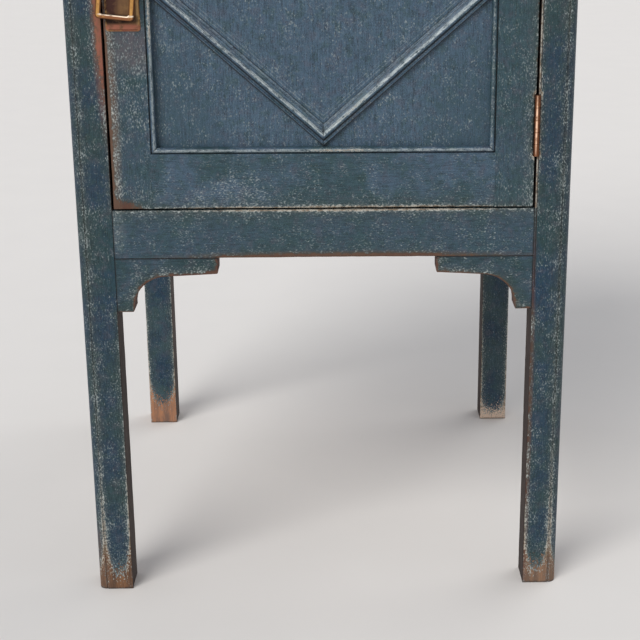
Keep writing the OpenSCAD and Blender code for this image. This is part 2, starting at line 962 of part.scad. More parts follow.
module door_rail(side) {
    outer_z = door_mid_z + side * door_h / 2;
    inner_z = door_mid_z + side * frame_half[1];
    difference() {
        union() {
            along_x([-frame_half[0], frame_half[0]])
                polygon(side > 0
                    ? soft_rect([face_y, door_back], [inner_z, outer_z], [0, 0, arris_r, arris_r])
                    : soft_rect([face_y, door_back], [outer_z, inner_z], [arris_r, arris_r, 0, 0]));
            door_tenons(side, 0, 0);
        }
        door_groove(frame_half[0]);
    }
}

module door_rail_lower() {
    color(paint) door_rail(-1);
}

module door_rail_upper() {
    color(paint) door_rail(1);
}

module door_panel() {
    reach = [frame_half[0] + door_groove_d - panel_play, frame_half[1] + door_groove_d - panel_play];
    color(paint)
        span([-reach[0], reach[0]], [panel_face, panel_back],
             [door_mid_z - reach[1], door_mid_z + reach[1]]);
}

// ---- Bead round the panel ----

// Section of the bead: across from the frame, and out from the panel
module bead_section() {
    bead_r = (bead_w - quirk_w) / 2;
    crown = panel_sink + bead_proud - bead_r;
    polygon(concat(
        [[0, 0], [0, panel_sink - quirk_d], [quirk_w, panel_sink - quirk_d]],
        arc([quirk_w + bead_r, crown], bead_r, 180, 0, corner_steps * 3),
        [[bead_w, 0]]));
}

// A bead along the lower edge of a panel opening, mitred at both ends
module mitred_bead(half_l) {
    intersection() {
        along_x([-half_l, half_l]) rotate(90) bead_section();
        along_y([-panel_sink - bead_proud - over, over])
            polygon([[-half_l, 0], [half_l, 0], [half_l - bead_w, bead_w],
                     [bead_w - half_l, bead_w]]);
    }
}

// The bead on one side of the opening, turned round the middle of the panel
module bead(turn, half_l, out) {
    translate([0, panel_face, door_mid_z])
        rotate([0, turn, 0])
            translate([0, 0, -out]) mitred_bead(half_l);
}

module bead_lower() {
    color(paint) bead(0, frame_half[0], frame_half[1]);
}

module bead_upper() {
    color(paint) bead(180, frame_half[0], frame_half[1]);
}

module bead_left() {
    color(paint) bead(90, frame_half[1], frame_half[0]);
}

module bead_right() {
    color(paint) bead(-90, frame_half[1], frame_half[0]);
}

// ---- Lozenge moulding ----

// Section of the moulding: a fillet, a hollow, a bead, then two low steps
module lozenge_section() {
    chamfer = 0.4;
    fillet_w = 1.6;
    fillet_h = lozenge_h * 0.7;
    hollow_r = 1.4;
    ridge_r = 2;
    ridge_mid = 5.9;
    slope_h = lozenge_h * 0.45;
    step_w = 3;
    step_h = lozenge_h * 0.28;
    polygon(concat(
        [[0, 0], [0, fillet_h - chamfer], [chamfer, fillet_h], [fillet_w, fillet_h]],
        arc([fillet_w + hollow_r, fillet_h], hollow_r, 180, 300, corner_steps * 2),
        arc([ridge_mid, lozenge_h - ridge_r], ridge_r, 160, 10, corner_steps * 3),
        [[ridge_mid + ridge_r + chamfer / 2, slope_h], [lozenge_w - step_w, step_h + chamfer],
         [lozenge_w - step_w, step_h], [lozenge_w - chamfer, step_h - chamfer],
         [lozenge_w, 0]]));
}

// The lower right side of the lozenge, mitred on the middle lines of the panel
module lozenge_side() {
    side_l = norm(lozenge_half);
    intersection() {
        translate([0, panel_face, door_mid_z - lozenge_half[1]])
            rotate([180, -90 - lozenge_angle, 0])
                translate([0, 0, -lozenge_w])
                    linear_extrude(side_l + 2 * lozenge_w) lozenge_section();
        span([0, lozenge_half[0]], [face_y, panel_face],
             [door_mid_z - lozenge_half[1], door_mid_z]);
    }
}

// A copy above the middle of the door
module upper_copy() {
    translate([0, 0, 2 * door_mid_z]) mirror([0, 0, 1]) children();
}

module lozenge_lower_left() {
    color(paint) other_side() lozenge_side();
}

module lozenge_lower_right() {
    color(paint) lozenge_side();
}

module lozenge_upper_left() {
    color(paint) upper_copy() other_side() lozenge_side();
}

module lozenge_upper_right() {
    color(paint) upper_copy() lozenge_side();
}

// ---- Handle ----

// Frame of the bail: its origin on the pivot line, its X along that line
module bail_frame() {
    translate([plate_mid_x, pivot_y, pivot_z]) rotate([0, bail_lean, 0]) children();
}

// Both posts' places on the face of the door, +Z running in through the door
module post_places() {
    for (s = [-1, 1])
        translate([plate_mid_x + s * cos(bail_lean) * post_space / 2, face_y,
                   pivot_z - s * sin(bail_lean) * post_space / 2])
            rotate([-90, 0, 0]) children();
}

module keeper_screw_place() {
    translate([(keeper_x[0] + keeper_x[1]) / 2, door_back + keeper_t, catch_mid_z])
        rotate([90, 0, 0]) children();
}

// A plate that steps in twice towards its face
module handle_plate() {
    tiers = 3;
    tier_in = 0.8;
    corner_r = 2.4;
    color(brass)
        difference() {
            for (i = [0:tiers - 1])
                along_y([face_y - plate_t * (i + 1) / tiers, face_y])
                    polygon(soft_rect(
                        [plate_mid_x - plate_w / 2 + i * tier_in,
                         plate_mid_x + plate_w / 2 - i * tier_in],
                        [plate_low_z + i * tier_in, plate_low_z + plate_h - i * tier_in],
                        [for (k = [0:3]) corner_r - i * tier_in / 2]));
            post_places()
                translate([0, 0, -plate_t - over])
                    cylinder(r = shank_r + pin_fit, h = plate_t + 2 * over);
        }
}

// Turned posts that carry the bail, with threaded shanks through the door
module handle_posts() {
    head_l = plate_face - pivot_y + post_r;
    color(brass)
        difference() {
            post_places() {
                translate([0, 0, -plate_t - head_l + post_r]) {
                    sphere(r = post_r);
                    cylinder(r = post_r, h = head_l - post_r);
                }
                translate([0, 0, -plate_t - post_collar_t])
                    cylinder(r = post_collar_r, h = post_collar_t);
                translate([0, 0, -plate_t])
                    cylinder(r = shank_r, h = plate_t + shank_end - face_y);
            }
            bail_frame()
                rotate([0, 90, 0])
                    cylinder(r = pivot_r + pin_fit, h = bail_w, center = true);
        }
}

module handle_nuts() {
    color(brass)
        post_places()
            translate([0, 0, door_t])
                difference() {
                    cylinder(r = nut_r, h = nut_t, $fn = 6);
                    translate([0, 0, -over])
                        cylinder(r = shank_r + pin_fit, h = nut_t + 2 * over);
                }
}

// A drop handle of three flat bars, with round eyes and stubs that pivot in the posts
module bail() {
    outer = bail_w / 2;
    inner = outer - bail_bar;
    eye_x = inner + bail_bar / 2;
    stub_x = post_space / 2 - pivot_seat - bail_shift;
    color(brass)
        bail_frame()
            translate([-bail_shift, 0, 0]) {
                along_y([-bail_t / 2, bail_t / 2]) {
                    difference() {
                        polygon(soft_rect([-outer, outer], [-bail_l - bail_grip / 2, 0],
                                          [bail_corner_r, bail_corner_r, 0, 0]));
                        polygon(soft_rect([-inner, inner], [bail_grip / 2 - bail_l, over],
                                          [bail_inner_r, bail_inner_r, 0, 0]));
                    }
                    for (s = [-1, 1])
                        translate([s * eye_x, 0]) circle(r = bail_bar / 2);
                }
                for (s = [0, 1])
                    mirror([s, 0, 0])
                        translate([stub_x, 0, 0])
                            rotate([0, 90, 0])
                                cylinder(r = pivot_r, h = eye_x - stub_x);
            }
}

// ---- Keeper ----

module keeper_plate() {
    color(steel)
        difference() {
            along_y([door_back, door_back + keeper_t])
                polygon(soft_rect(keeper_x, keeper_z, [for (k = [0:3]) keeper_corner_r]));
            keeper_screw_place() screw(small_screw_r, small_screw_l, pin_fit);
        }
}

module keeper_screw() {
    color(steel)
        keeper_screw_place() slotted_screw(small_screw_r, small_screw_l);
}

leg_front_left();
leg_front_right();
leg_back_left();
leg_back_right();
front_rail_lower();
front_rail_upper();
side_rail_lower_left();
side_rail_lower_right();
side_rail_upper_left();
side_rail_upper_right();
back_rail_lower();
back_rail_upper();
side_panel_left();
side_panel_right();
back_boards();
bottom_board();
bearer_left();
bearer_right();
bearer_screws();
bracket_left();
bracket_right();
top_board();
top_buttons();
button_screws();
door_stop();
catch_body();
catch_poles();
catch_screws();
hinge_leaf_frame_lower();
hinge_leaf_frame_upper();
hinge_pin_lower();
hinge_pin_upper();
hinge_frame_screws();
door_stile_left();
door_stile_right();
door_rail_lower();
door_rail_upper();
door_panel();
bead_left();
bead_right();
bead_lower();
bead_upper();
lozenge_lower_left();
lozenge_lower_right();
lozenge_upper_left();
lozenge_upper_right();
hinge_leaf_door_lower();
hinge_leaf_door_upper();
hinge_door_screws();
handle_plate();
handle_posts();
handle_nuts();
keeper_plate();
keeper_screw();
bail();
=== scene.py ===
"""Finishes and worn detail of a painted bedside pot cupboard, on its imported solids.

Metres throughout, in the cupboard's own frame: X across, +Y to the back, +Z up.
Distances on finishes, and the places of their marks, are in millimetres of the same frame.
"""

import math

import bmesh
import bpy
from mathutils import Matrix, Vector, bvhtree, geometry, kdtree, noise


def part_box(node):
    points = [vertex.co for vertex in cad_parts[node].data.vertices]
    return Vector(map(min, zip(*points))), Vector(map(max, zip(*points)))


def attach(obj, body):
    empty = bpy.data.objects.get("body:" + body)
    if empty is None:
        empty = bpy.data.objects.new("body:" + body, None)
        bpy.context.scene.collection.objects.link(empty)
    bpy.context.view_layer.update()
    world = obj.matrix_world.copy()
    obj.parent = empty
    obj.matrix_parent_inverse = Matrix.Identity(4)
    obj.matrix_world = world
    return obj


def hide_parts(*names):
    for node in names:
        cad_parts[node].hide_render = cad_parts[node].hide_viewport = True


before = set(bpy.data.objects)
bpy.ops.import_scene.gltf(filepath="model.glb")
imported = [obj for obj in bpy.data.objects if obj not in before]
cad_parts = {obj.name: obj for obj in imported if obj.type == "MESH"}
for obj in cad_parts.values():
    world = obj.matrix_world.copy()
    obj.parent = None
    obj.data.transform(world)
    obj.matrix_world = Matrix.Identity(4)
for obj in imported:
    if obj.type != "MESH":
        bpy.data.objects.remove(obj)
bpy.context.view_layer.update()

MM = 0.001
X, Y, Z = 0, 1, 2


# ---- Places taken from the frame, in millimetres ----

def box_mm(node):
    """The lowest and the highest corner of a solid."""
    return [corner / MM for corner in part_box(node)]


DOOR_LOW, DOOR_HIGH = box_mm("door_stile_left")[0], box_mm("door_stile_right")[1]
DOOR_EDGE, FRONT, DOOR_FOOT = DOOR_LOW
DOOR_MID = (DOOR_LOW.z + DOOR_HIGH.z) / 2
PANEL_FACE = box_mm("door_panel")[0].y
BEAD_LOW, BEAD_HIGH = box_mm("bead_lower")[0], box_mm("bead_upper")[1]
BEAD_HALF_Z = (BEAD_HIGH.z - BEAD_LOW.z) / 2
LOZENGE_LOW = box_mm("lozenge_lower_left")[0]
LOZENGE_HALF_X, LOZENGE_HALF_Z = -LOZENGE_LOW.x, DOOR_MID - LOZENGE_LOW.z
LOZENGE_SIDE = math.hypot(LOZENGE_HALF_X, LOZENGE_HALF_Z)
RAIL_FOOT, RAIL_TOP = [corner.z for corner in box_mm("front_rail_lower")]
LEG_OUTER, LEG_INNER = [corner.x for corner in box_mm("leg_front_left")]
BRACKET_END = box_mm("bracket_right")[0].x
SIDE_FACE = box_mm("side_panel_right")[1].x
BACK_FACE = box_mm("back_boards")[1].y
TOP_FACE = box_mm("top_board")[1].z
HINGE_LOW, HINGE_HIGH = box_mm("hinge_pin_lower")
HINGE_X, HINGE_MID = (HINGE_LOW.x + HINGE_HIGH.x) / 2, (HINGE_LOW.z + HINGE_HIGH.z) / 2
PLATE_LOW, PLATE_HIGH = box_mm("handle_plate")
PLATE_X, HANDLE_MID = (PLATE_LOW.x + PLATE_HIGH.x) / 2, (PLATE_LOW.z + PLATE_HIGH.z) / 2
BAIL_LOW, BAIL_HIGH = box_mm("bail")
BAIL_X = (BAIL_LOW.x + BAIL_HIGH.x) / 2


# ---- Shader expressions ----

class Wire:
    """A socket that Python's operators work on, each adding one Math node."""

    def __init__(self, finish, socket):
        self.finish = finish
        self.socket = socket

    def math(self, operation, *values):
        return self.finish.node("ShaderNodeMath", {"operation": operation}, values)

    def __add__(self, other):
        return self.math("ADD", self, other)

    __radd__ = __add__

    def __sub__(self, other):
        return self.math("SUBTRACT", self, other)

    def __rsub__(self, other):
        return self.math("SUBTRACT", other, self)

    def __mul__(self, other):
        return self.math("MULTIPLY", self, other)

    __rmul__ = __mul__

    def __truediv__(self, other):
        return self.math("DIVIDE", self, other)

    def __abs__(self):
        return self.math("ABSOLUTE", self)

    def exponent(self):
        return self.math("EXPONENT", self)

    def low(self, other):
        return self.math("MINIMUM", self, other)

    def high(self, other):
        return self.math("MAXIMUM", self, other)


class Finish:
    """A material under construction."""

    def __init__(self, name):
        self.open(bpy.data.materials.new(name), "Principled BSDF")

    def open(self, made, last):
        """Starts the nodes of what is being made, up to the node called last."""
        made.use_nodes = True
        self.made = made
        self.tree = made.node_tree
        self.shader = self.tree.nodes[last]

    def node(self, kind, settings=None, values=(), output=0):
        """Adds a node; values is a list in socket order, or a dict by socket name."""
        made = self.tree.nodes.new(kind)
        for name, setting in (settings or {}).items():
            setattr(made, name, setting)
        pairs = values.items() if isinstance(values, dict) else enumerate(values)
        for key, value in pairs:
            self.feed(made.inputs[key], value)
        return Wire(self, made.outputs[output])

    def feed(self, socket, value):
        if isinstance(value, Wire):
            self.tree.links.new(value.socket, socket)
        elif socket.type == "RGBA" and len(value) == 3:
            socket.default_value = (*value, 1)
        else:
            socket.default_value = value

    def place(self):
        """The point in the cupboard's frame, in millimetres."""
        point = self.node("ShaderNodeTexCoord", output="Object")
        return self.scaled(point, (1 / MM,) * 3)

    def scaled(self, vector, factors):
        return self.node("ShaderNodeVectorMath", {"operation": "MULTIPLY"}, [vector, factors])

    def axes(self, vector):
        """The three parts of a vector."""
        made = self.node("ShaderNodeSeparateXYZ", values=[vector])
        return [Wire(self, out) for out in made.socket.node.outputs]

    def attribute(self, name):
        """A number that is stored on the points of the mesh."""
        return self.node("ShaderNodeAttribute", {"attribute_name": name}, output="Fac")

    def noise(self, vector, size, detail=2.0, rough=0.5):
        """Noise from 0 to 1 whose features are about size millimetres."""
        return self.node("ShaderNodeTexNoise", None,
                         {"Vector": vector, "Scale": 1 / size, "Detail": detail, "Roughness": rough})

    def step(self, value, start, end):
        """Goes smoothly from 0 to 1 as value goes from start to end."""
        return self.node("ShaderNodeMapRange", {"interpolation_type": "SMOOTHSTEP"},
                         {"Value": value, "From Min": start, "From Max": end})

    def mix(self, factor, under, over):
        """Colour under, covered by colour over as far as factor says."""
        return self.node("ShaderNodeMix", {"data_type": "RGBA"},
                         {"Factor": factor, "A": under, "B": over}, output="Result")

    def shade(self, colour, factor):
        """A colour made lighter or darker by a value."""
        return self.node("ShaderNodeVectorMath", {"operation": "SCALE"},
                         {"Vector": colour, "Scale": factor})

    def spot(self, point, centre, radii):
        """1 at centre, falling to 0 at an egg of those radii, in millimetres."""
        offset = self.node("ShaderNodeVectorMath", {"operation": "SUBTRACT"}, [point, centre])
        share = self.node("ShaderNodeVectorMath", {"operation": "DIVIDE"}, [offset, radii])
        length = self.node("ShaderNodeVectorMath", {"operation": "LENGTH"}, [share], "Value")
        return 1 - self.step(length, 0.35, 1.0)

    def marks_in_clouds(self, colour, point, cloud, marks):
        """Marks broken up by cloud, each a (centre, radii, colour, strength): stains, and on the
        metals and in a few places on the paint, painted highlight, shade and shadow.
        """
        for centre, radii, stain, strength in marks:
            colour = self.mix(self.spot(point, centre, radii) * cloud * strength, colour, stain)
        return colour

    def bump(self, height, depth):
        """A normal from a height of 0 to 1 that stands for depth millimetres."""
        return self.node("ShaderNodeBump", None,
                         {"Height": height, "Distance": depth * MM, "Strength": 1.0})

    def done(self, **inputs):
        """Sets the last node's own sockets, whose spaces are written as underscores."""
        for name, value in inputs.items():
            self.feed(self.shader.inputs[name.replace("_", " ")], value)
        return self.made


# ---- Colours, as linear light ----

SLATE = (0.048, 0.083, 0.121)
TEAL = (0.026, 0.057, 0.071)
STEEL_BLUE = (0.031, 0.059, 0.083)
PEWTER = (0.050, 0.086, 0.122)
DUSK = (0.068, 0.064, 0.084)
DEEP = (0.008, 0.032, 0.062)
SPRUCE = (0.014, 0.040, 0.048)
PINE_GREEN = (0.024, 0.052, 0.046)
MOSS = (0.042, 0.050, 0.040)
CHALK = (0.36, 0.40, 0.39)
HOAR = (0.20, 0.235, 0.225)
# Pale of the ridges of mouldings: rubbed paint and painted highlight
PALE_RUB_AND_HIGHLIGHT = (0.56, 0.61, 0.60)
CREAM = (0.50, 0.455, 0.375)
OCHRE = (0.24, 0.165, 0.10)
RUST = (0.150, 0.056, 0.036)
BROWN = (0.108, 0.060, 0.037)
AMBER = (0.34, 0.125, 0.042)
UMBER = (0.085, 0.034, 0.022)
ROSE = (0.26, 0.088, 0.058)
MAUVE = (0.110, 0.082, 0.086)
# Dark of dirt at the floor, of darkening beside joints, and of painted shade in mouldings' hollows
GRIME_AND_SHADE = (0.013, 0.014, 0.016)
PALE_PINE = (0.60, 0.45, 0.34)
COPPER = (0.34, 0.130, 0.084)
# From here to the end of this block: painted highlights, painted shade and painted shadows on the
# metals
WARM_BRASS = (0.30, 0.125, 0.058)
OLD_GOLD = (0.46, 0.30, 0.14)
BRIGHT_GOLD = (1.0, 0.84, 0.66)
ROSE_GOLD = (1.0, 0.66, 0.46)
OXBLOOD = (0.060, 0.026, 0.020)
CHESTNUT = (0.07, 0.036, 0.022)
DARK_COPPER = (0.045, 0.020, 0.014)
# The painted shadow that the bail casts on its plate
BAIL_SHADOW_BROWN = (0.026, 0.013, 0.009)

# Pale and dark streaks of each wood, and of the catch's brown case
FOOT_WOOD = (0.22, 0.105, 0.048), (0.080, 0.042, 0.025)
# The legs' inner sides are bare wood, made darker as painted shade for the shade they lie in
SHADED_LEG_WOOD = (0.046, 0.030, 0.026), (0.020, 0.012, 0.010)
SAWN_WOOD = (0.13, 0.055, 0.034), (0.05, 0.026, 0.020)
INNER_WOOD = (0.30, 0.19, 0.11), (0.15, 0.085, 0.05)
SHELF_WOOD = (0.33, 0.21, 0.12), (0.17, 0.10, 0.06)
CATCH_CASE = (0.080, 0.042, 0.025), (0.05, 0.026, 0.016)

# Each metal bright and tarnished
HINGE_METAL = (0.20, 0.078, 0.036), (0.050, 0.024, 0.016)
HANDLE_METAL = (0.58, 0.33, 0.11), (0.22, 0.10, 0.035)
BAIL_METAL = (0.74, 0.40, 0.125), (0.115, 0.044, 0.014)
PLATE_METAL = (0.45, 0.275, 0.115), (0.13, 0.068, 0.036)
STEEL = (0.42, 0.41, 0.39), (0.14, 0.11, 0.09)


# ---- Patterns of wood and old paint ----

# Sizes in millimetres, then how much longer brushing and flecks are along the grain
BRISTLE, TOOTH, FLECK, CHIP, HAZE, CROWD, PATCH, CLOUD = 0.8, 0.62, 1.1, 3.4, 9.0, 14.0, 40.0, 48.0
GRAIN_BAND, GRAIN_PORE, TARNISH, SCRATCH, MOTTLE = 7.0, 0.7, 6.0, 0.35, 90.0
GRAIN_STRETCH, FLECK_STRETCH = 14, 1.6


def stretch(grain, ratio):
    """Factors that draw noise out along the grain."""
    return tuple(1 / ratio if axis == grain else 1.0 for axis in range(3))


def wood_colour(finish, point, grain, pale, dark):
    """Streaked wood along the grain, and its height."""
    drawn = finish.scaled(point, stretch(grain, GRAIN_STRETCH))
    bands = finish.noise(drawn, GRAIN_BAND, 3.0, 0.6)
    pores = finish.noise(drawn, GRAIN_PORE, 2.0, 0.7)
    tone = finish.step(bands * 0.6 + pores * 0.4, 0.38, 0.62)
    return finish.mix(tone, pale, dark), pores


class Wear:
    """The patterns that the layers of old paint on one piece share."""

    def __init__(self, finish, grain, moulding):
        self.finish = finish
        self.point = finish.place()
        along = moulding.along(finish, self.point) if moulding else self.point
        drawn = finish.scaled(along, stretch(grain, FLECK_STRETCH))
        brushed = finish.scaled(along, stretch(grain, GRAIN_STRETCH))
        self.brush = finish.noise(brushed, BRISTLE, 3.0, 0.6)
        self.tooth = finish.noise(drawn, TOOTH, 2.0, 0.6)
        self.flecks = finish.noise(drawn, FLECK, 1.0, 0.5)
        self.chips = finish.noise(drawn, CHIP, 3.0, 0.6)
        self.crowd = finish.noise(self.point, CROWD, 3.0, 0.6)
        self.patch = finish.noise(self.point, PATCH, 2.0, 0.5)
        self.from_edge = finish.attribute("edge")
        self.from_joint = finish.attribute("joint")
        self.beside = (self.from_edge * -0.15).exponent()

    def rim(self, width):
        """1 at open edges, fading inwards over uneven parts of width millimetres."""
        return (self.from_edge / (self.patch * width * -1.8 - 0.2)).exponent()

    def spots(self, marks):
        """The sum of egg-shaped marks, each a (centre, radii, strength)."""
        total = 0.0
        for centre, radii, strength in marks:
            total = self.finish.spot(self.point, centre, radii) * strength + total
        return total

    def tinted(self, colour, marks):
        """Clouded stains in the paint or the wood, a few of which are painted shade."""
        if not marks:
            return colour
        return self.finish.marks_in_clouds(colour, self.point, self.finish.step(self.chips, 0.1, 0.7), marks)

    def base(self, light, dark):
        """Brushed paint whose hue wanders, greener beside an edge."""
        finish = self.finish
        cloud = finish.noise(self.point, CLOUD, 3.0, 0.6)
        haze = finish.noise(self.point, HAZE, 3.0, 0.65)
        colour = finish.mix(finish.step(cloud, 0.40, 0.60), dark, light)
        colour = finish.mix(finish.step(haze, 0.50, 0.68) * 0.35, colour, DUSK)
        colour = finish.mix(finish.step(haze, 0.50, 0.34) * 0.4, colour, PINE_GREEN)
        colour = finish.mix(self.beside * 0.45, colour, MOSS)
        tone = (self.brush - 0.5) * 1.6 + (self.tooth - 0.5) * 2.0 + (self.chips - 0.5) * 0.9
        return finish.shade(colour, 1.0 + tone)

    def dusted(self, colour, amount, marks):
        """Pale scuffs and pinholes, crowded in places."""
        finish = self.finish
        dense = (self.crowd - 0.5) * 0.55 + self.beside * 0.05 + self.spots(marks)
        pins = self.flecks + dense * amount
        colour = finish.mix(finish.step(pins, 0.56, 0.80) * 0.20, colour, CHALK)
        return finish.mix(finish.step(pins, 0.72, 0.86) * 0.42, colour, CHALK)

    def rubbed_and_highlit(self, colour, ridge, rub_and_highlight):
        """The ridges of a moulding made pale in streaks: rubbed paint, and painted highlight on the
        ridges.
        """
        streaks = self.brush * 0.35 + self.chips * 0.4 + self.tooth * 0.25
        ridge_pale = ridge * self.finish.step(streaks, 0.40, 0.58)
        return self.finish.mix(ridge_pale * rub_and_highlight, colour, PALE_RUB_AND_HIGHLIGHT)

    def bared(self, colour, loss, wood):
        """Bare wood, with a dull stain round it, where the paint is lost."""
        finish = self.finish
        ragged = self.chips * 0.45 + self.tooth * 0.35 + self.brush * 0.2 + loss * 0.45
        stain = finish.step(ragged, 0.54, 0.74)
        bare = finish.step(ragged, 0.66, 0.80)
        colour = finish.mix(stain * 0.7, colour, MOSS)
        return finish.mix(bare, colour, wood), bare

    def flecked(self, colour, thin):
        """Flecks of the cream ground, thick where the paint is thin."""
        finish = self.finish
        density = self.flecks + (self.tooth - 0.5) * 0.5 + (self.crowd - 0.5) * 0.35 + thin * 0.46
        colour = finish.mix(finish.step(density, 0.62, 0.88) * 0.34, colour, HOAR)
        cream = finish.step(density, 0.82, 1.04)
        ground = finish.mix(finish.step(self.chips, 0.42, 0.60), CREAM, OCHRE)
        ground = finish.mix(finish.step(thin, 0.4, 1.2), CHALK, ground)
        ground = finish.shade(ground, 0.6 + self.tooth * 0.7)
        return finish.mix(cream * 0.78, colour, ground), cream

    def darkened_at_joints(self, colour, line, reach):
        """A dark line in each joint, and darkening that fades away from it over reach millimetres."""
        finish = self.finish
        dirt_and_shade = 1 - finish.step(self.from_joint + self.chips * 2.0, 0.6, reach)
        crack = 1 - finish.step(self.from_joint, 0.25, 0.6)
        colour = finish.mix(dirt_and_shade * 0.5, colour, GRIME_AND_SHADE)
        return finish.mix(crack * line, colour, GRIME_AND_SHADE)


# ---- Mouldings ----

# How far the panel's back, and each side of the lozenge, are set apart from the rest
BEHIND = 900
BETWEEN_SIDES = 311, 197


def lozenge_across(finish, point):
    """Millimetres inwards from the lozenge's outer edge."""
    x, _, z = finish.axes(point)
    reach = LOZENGE_HALF_X * LOZENGE_HALF_Z / LOZENGE_SIDE
    return (1 - abs(x) / LOZENGE_HALF_X - abs(z - DOOR_MID) / LOZENGE_HALF_Z) * reach


def lozenge_along(finish, point):
    """A point whose Z runs along each side of the lozenge, far from that of every other side."""
    x, y, z = finish.axes(point)
    rise = z - DOOR_MID
    length = (abs(x) * LOZENGE_HALF_X - abs(rise) * LOZENGE_HALF_Z) / LOZENGE_SIDE
    across_x, across_z = BETWEEN_SIDES
    side = finish.step(x, -0.1, 0.1) * across_x + finish.step(rise, -0.1, 0.1) * across_z
    return finish.node("ShaderNodeCombineXYZ", None, [lozenge_across(finish, point), y, length + side])


def panel_across(finish, point):
    """As for the lozenge, but far from every line on the back of the panel."""
    depth = finish.axes(point)[Y] - PANEL_FACE
    return lozenge_across(finish, point) + finish.step(depth, 1, 2) * BEHIND


def bead_across(finish, point):
    """Millimetres inwards from the outer edge of the bead."""
    x, _, z = finish.axes(point)
    return (BEAD_HIGH.x - abs(x)).low(BEAD_HALF_Z - abs(z - DOOR_MID))


def as_it_lies(finish, point):
    return point


class Moulding:
    """The ridges and hollows of a moulding, each a (middle, half width, strength) across it.

    Ridges are made pale, partly rubbed paint and partly painted highlight; hollows are painted shade.
    """

    def __init__(self, across, crests, shaded_hollows, along=as_it_lies):
        self.across = across
        self.crests = crests
        self.shaded_hollows = shaded_hollows
        self.along = along

    def measure(self, finish, point):
        """How near a ridge a point is, and how deep in a hollow of painted shade, both from 0 to 1."""
        across = self.across(finish, point)
        return self.bands(finish, across, self.crests), self.bands(finish, across, self.shaded_hollows)

    def bands(self, finish, across, lines):
        total = 0.0
        for middle, half, strength in lines:
            total = (1 - finish.step(abs(across - middle), half * 0.3, half)) * strength + total
        return total


# ---- Kinds of finish ----

JOINT_DARKENING_REACH, MOULDED_JOINT_DARKENING_REACH = 3.2, 1.6
PAINT_DEPTH, PORE_DEPTH, SCRATCH_DEPTH = 0.14, 0.12, 0.02


def painted(name, grain, light=SLATE, dark=TEAL, edge=1.0, width=3.0, bare=0.3, dust=1.0,
            wood=(BROWN, RUST), boosts=(), rubs=(), dusty=(), thinned=(), tints=(), feet=(),
            kept=0.0, joint_line=0.9, moulding=None, rub_and_highlight=0.5):
    """Old paint, worn through at the open edges and where the piece is rubbed.

    edge and bare say how thick the cream flecks and the bare wood are along open edges.
    The marks are lists of (centre, radii, strength) in millimetres: boosts for more cream
    along edges, rubs down to the wood, dusty for pale specks and thinned for cream flecks.
    tints are stains, and a few patches of painted shade, each a (centre, radii, colour, strength).
    feet is a list of (x, y, middle, corner, pale) of the bare ends of legs, kept is how much fewer
    flecks the open faces have, and the last argument is how pale the ridge of a moulding is made:
    rubbed paint and painted highlight together.
    """
    finish = Finish(name)
    wear = Wear(finish, grain, moulding)
    timber, pores = wood_colour(finish, wear.point, grain, *wood)
    rim = wear.rim(width)
    thin = rim * (wear.spots(boosts) + edge + kept) + wear.spots(thinned) - kept
    loss = rim * bare + wear.spots(rubs)
    colour = wear.dusted(wear.tinted(wear.base(light, dark), tints), dust, dusty)
    dirt_and_shade = []
    if feet:
        sole, flecks, pale, soil = foot_wear(wear, feet)
        loss = loss + sole
        thin = thin + flecks
        timber = finish.mix(pale, timber, PALE_PINE)
        dirt_and_shade.append(soil)
    if moulding:
        # A moulding's ridges are made pale, partly as painted highlight, and its hollows dark as
        # painted shade
        ridge, hollow_shade = moulding.measure(finish, wear.point)
        thin = thin + ridge * 0.5
        colour = wear.rubbed_and_highlit(colour, ridge, rub_and_highlight)
        dirt_and_shade.append(hollow_shade)
    colour, bared = wear.bared(colour, loss, wear.tinted(timber, tints))
    colour, cream = wear.flecked(colour, thin - bared * 1.2)
    colour = wear.darkened_at_joints(colour, joint_line, MOULDED_JOINT_DARKENING_REACH if moulding else JOINT_DARKENING_REACH)
    # Dirt at the floor, and painted shade in a moulding's hollows
    for layer in dirt_and_shade:
        colour = finish.mix(layer, colour, GRIME_AND_SHADE)
    height = wear.brush * 0.3 + wear.tooth * 0.3 - cream * 0.4 - bared * 0.7 - pores * 0.08
    roughness = 0.46 + cream * 0.2 + bared * 0.12 + (wear.tooth - 0.5) * 0.3
    return finish.done(Base_Color=colour, Roughness=roughness, Normal=finish.bump(height, PAINT_DEPTH),
                       Specular_IOR_Level=0.3)


def foot_wear(wear, feet):
    """How bare, flecked and pale the end of each leg is, and how dirty right at the floor."""
    finish = wear.finish
    x, y, z = finish.axes(wear.point)
    sole, flecks, pale = 0.0, 0.0, 0.0
    uneven = (wear.chips - 0.5) * 34 + (wear.flecks - 0.5) * 60 + (wear.tooth - 0.5) * 30
    for foot_x, foot_y, middle, corner, paleness in feet:
        near = (1 - finish.step(abs(x - foot_x), 20, 25)) * (1 - finish.step(abs(y - foot_y), 20, 25))
        above = z - middle - wear.beside * (corner - middle)
        bottom = 1 - finish.step(above + uneven, -9, 11)
        shin = 1 - finish.step(above, -4, 22)
        shank = 1 - finish.step(z, 12, 210)
        sole = near * bottom * 1.4 + sole
        flecks = near * (shin * 0.62 + shank * (wear.beside * 0.45 + 0.16)) + flecks
        pale = near * paleness + pale
    soil = (1 - finish.step(z + wear.chips * 2.5, 1.2, 4.0)) * 0.65
    return sole, flecks, pale, soil


def old_wood(name, grain, pale, dark, dull=0.62, stain=0.35):
    """Unpainted wood, or a case as brown, darkened with age."""
    finish = Finish(name)
    point = finish.place()
    colour, pores = wood_colour(finish, point, grain, pale, dark)
    cloud = finish.step(finish.noise(point, PATCH, 3.0, 0.6), 0.35, 0.75)
    colour = finish.shade(colour, 1.0 - cloud * stain)
    return finish.done(Base_Color=colour, Roughness=dull + pores * 0.2,
                       Normal=finish.bump(pores, PORE_DEPTH), Specular_IOR_Level=0.2)


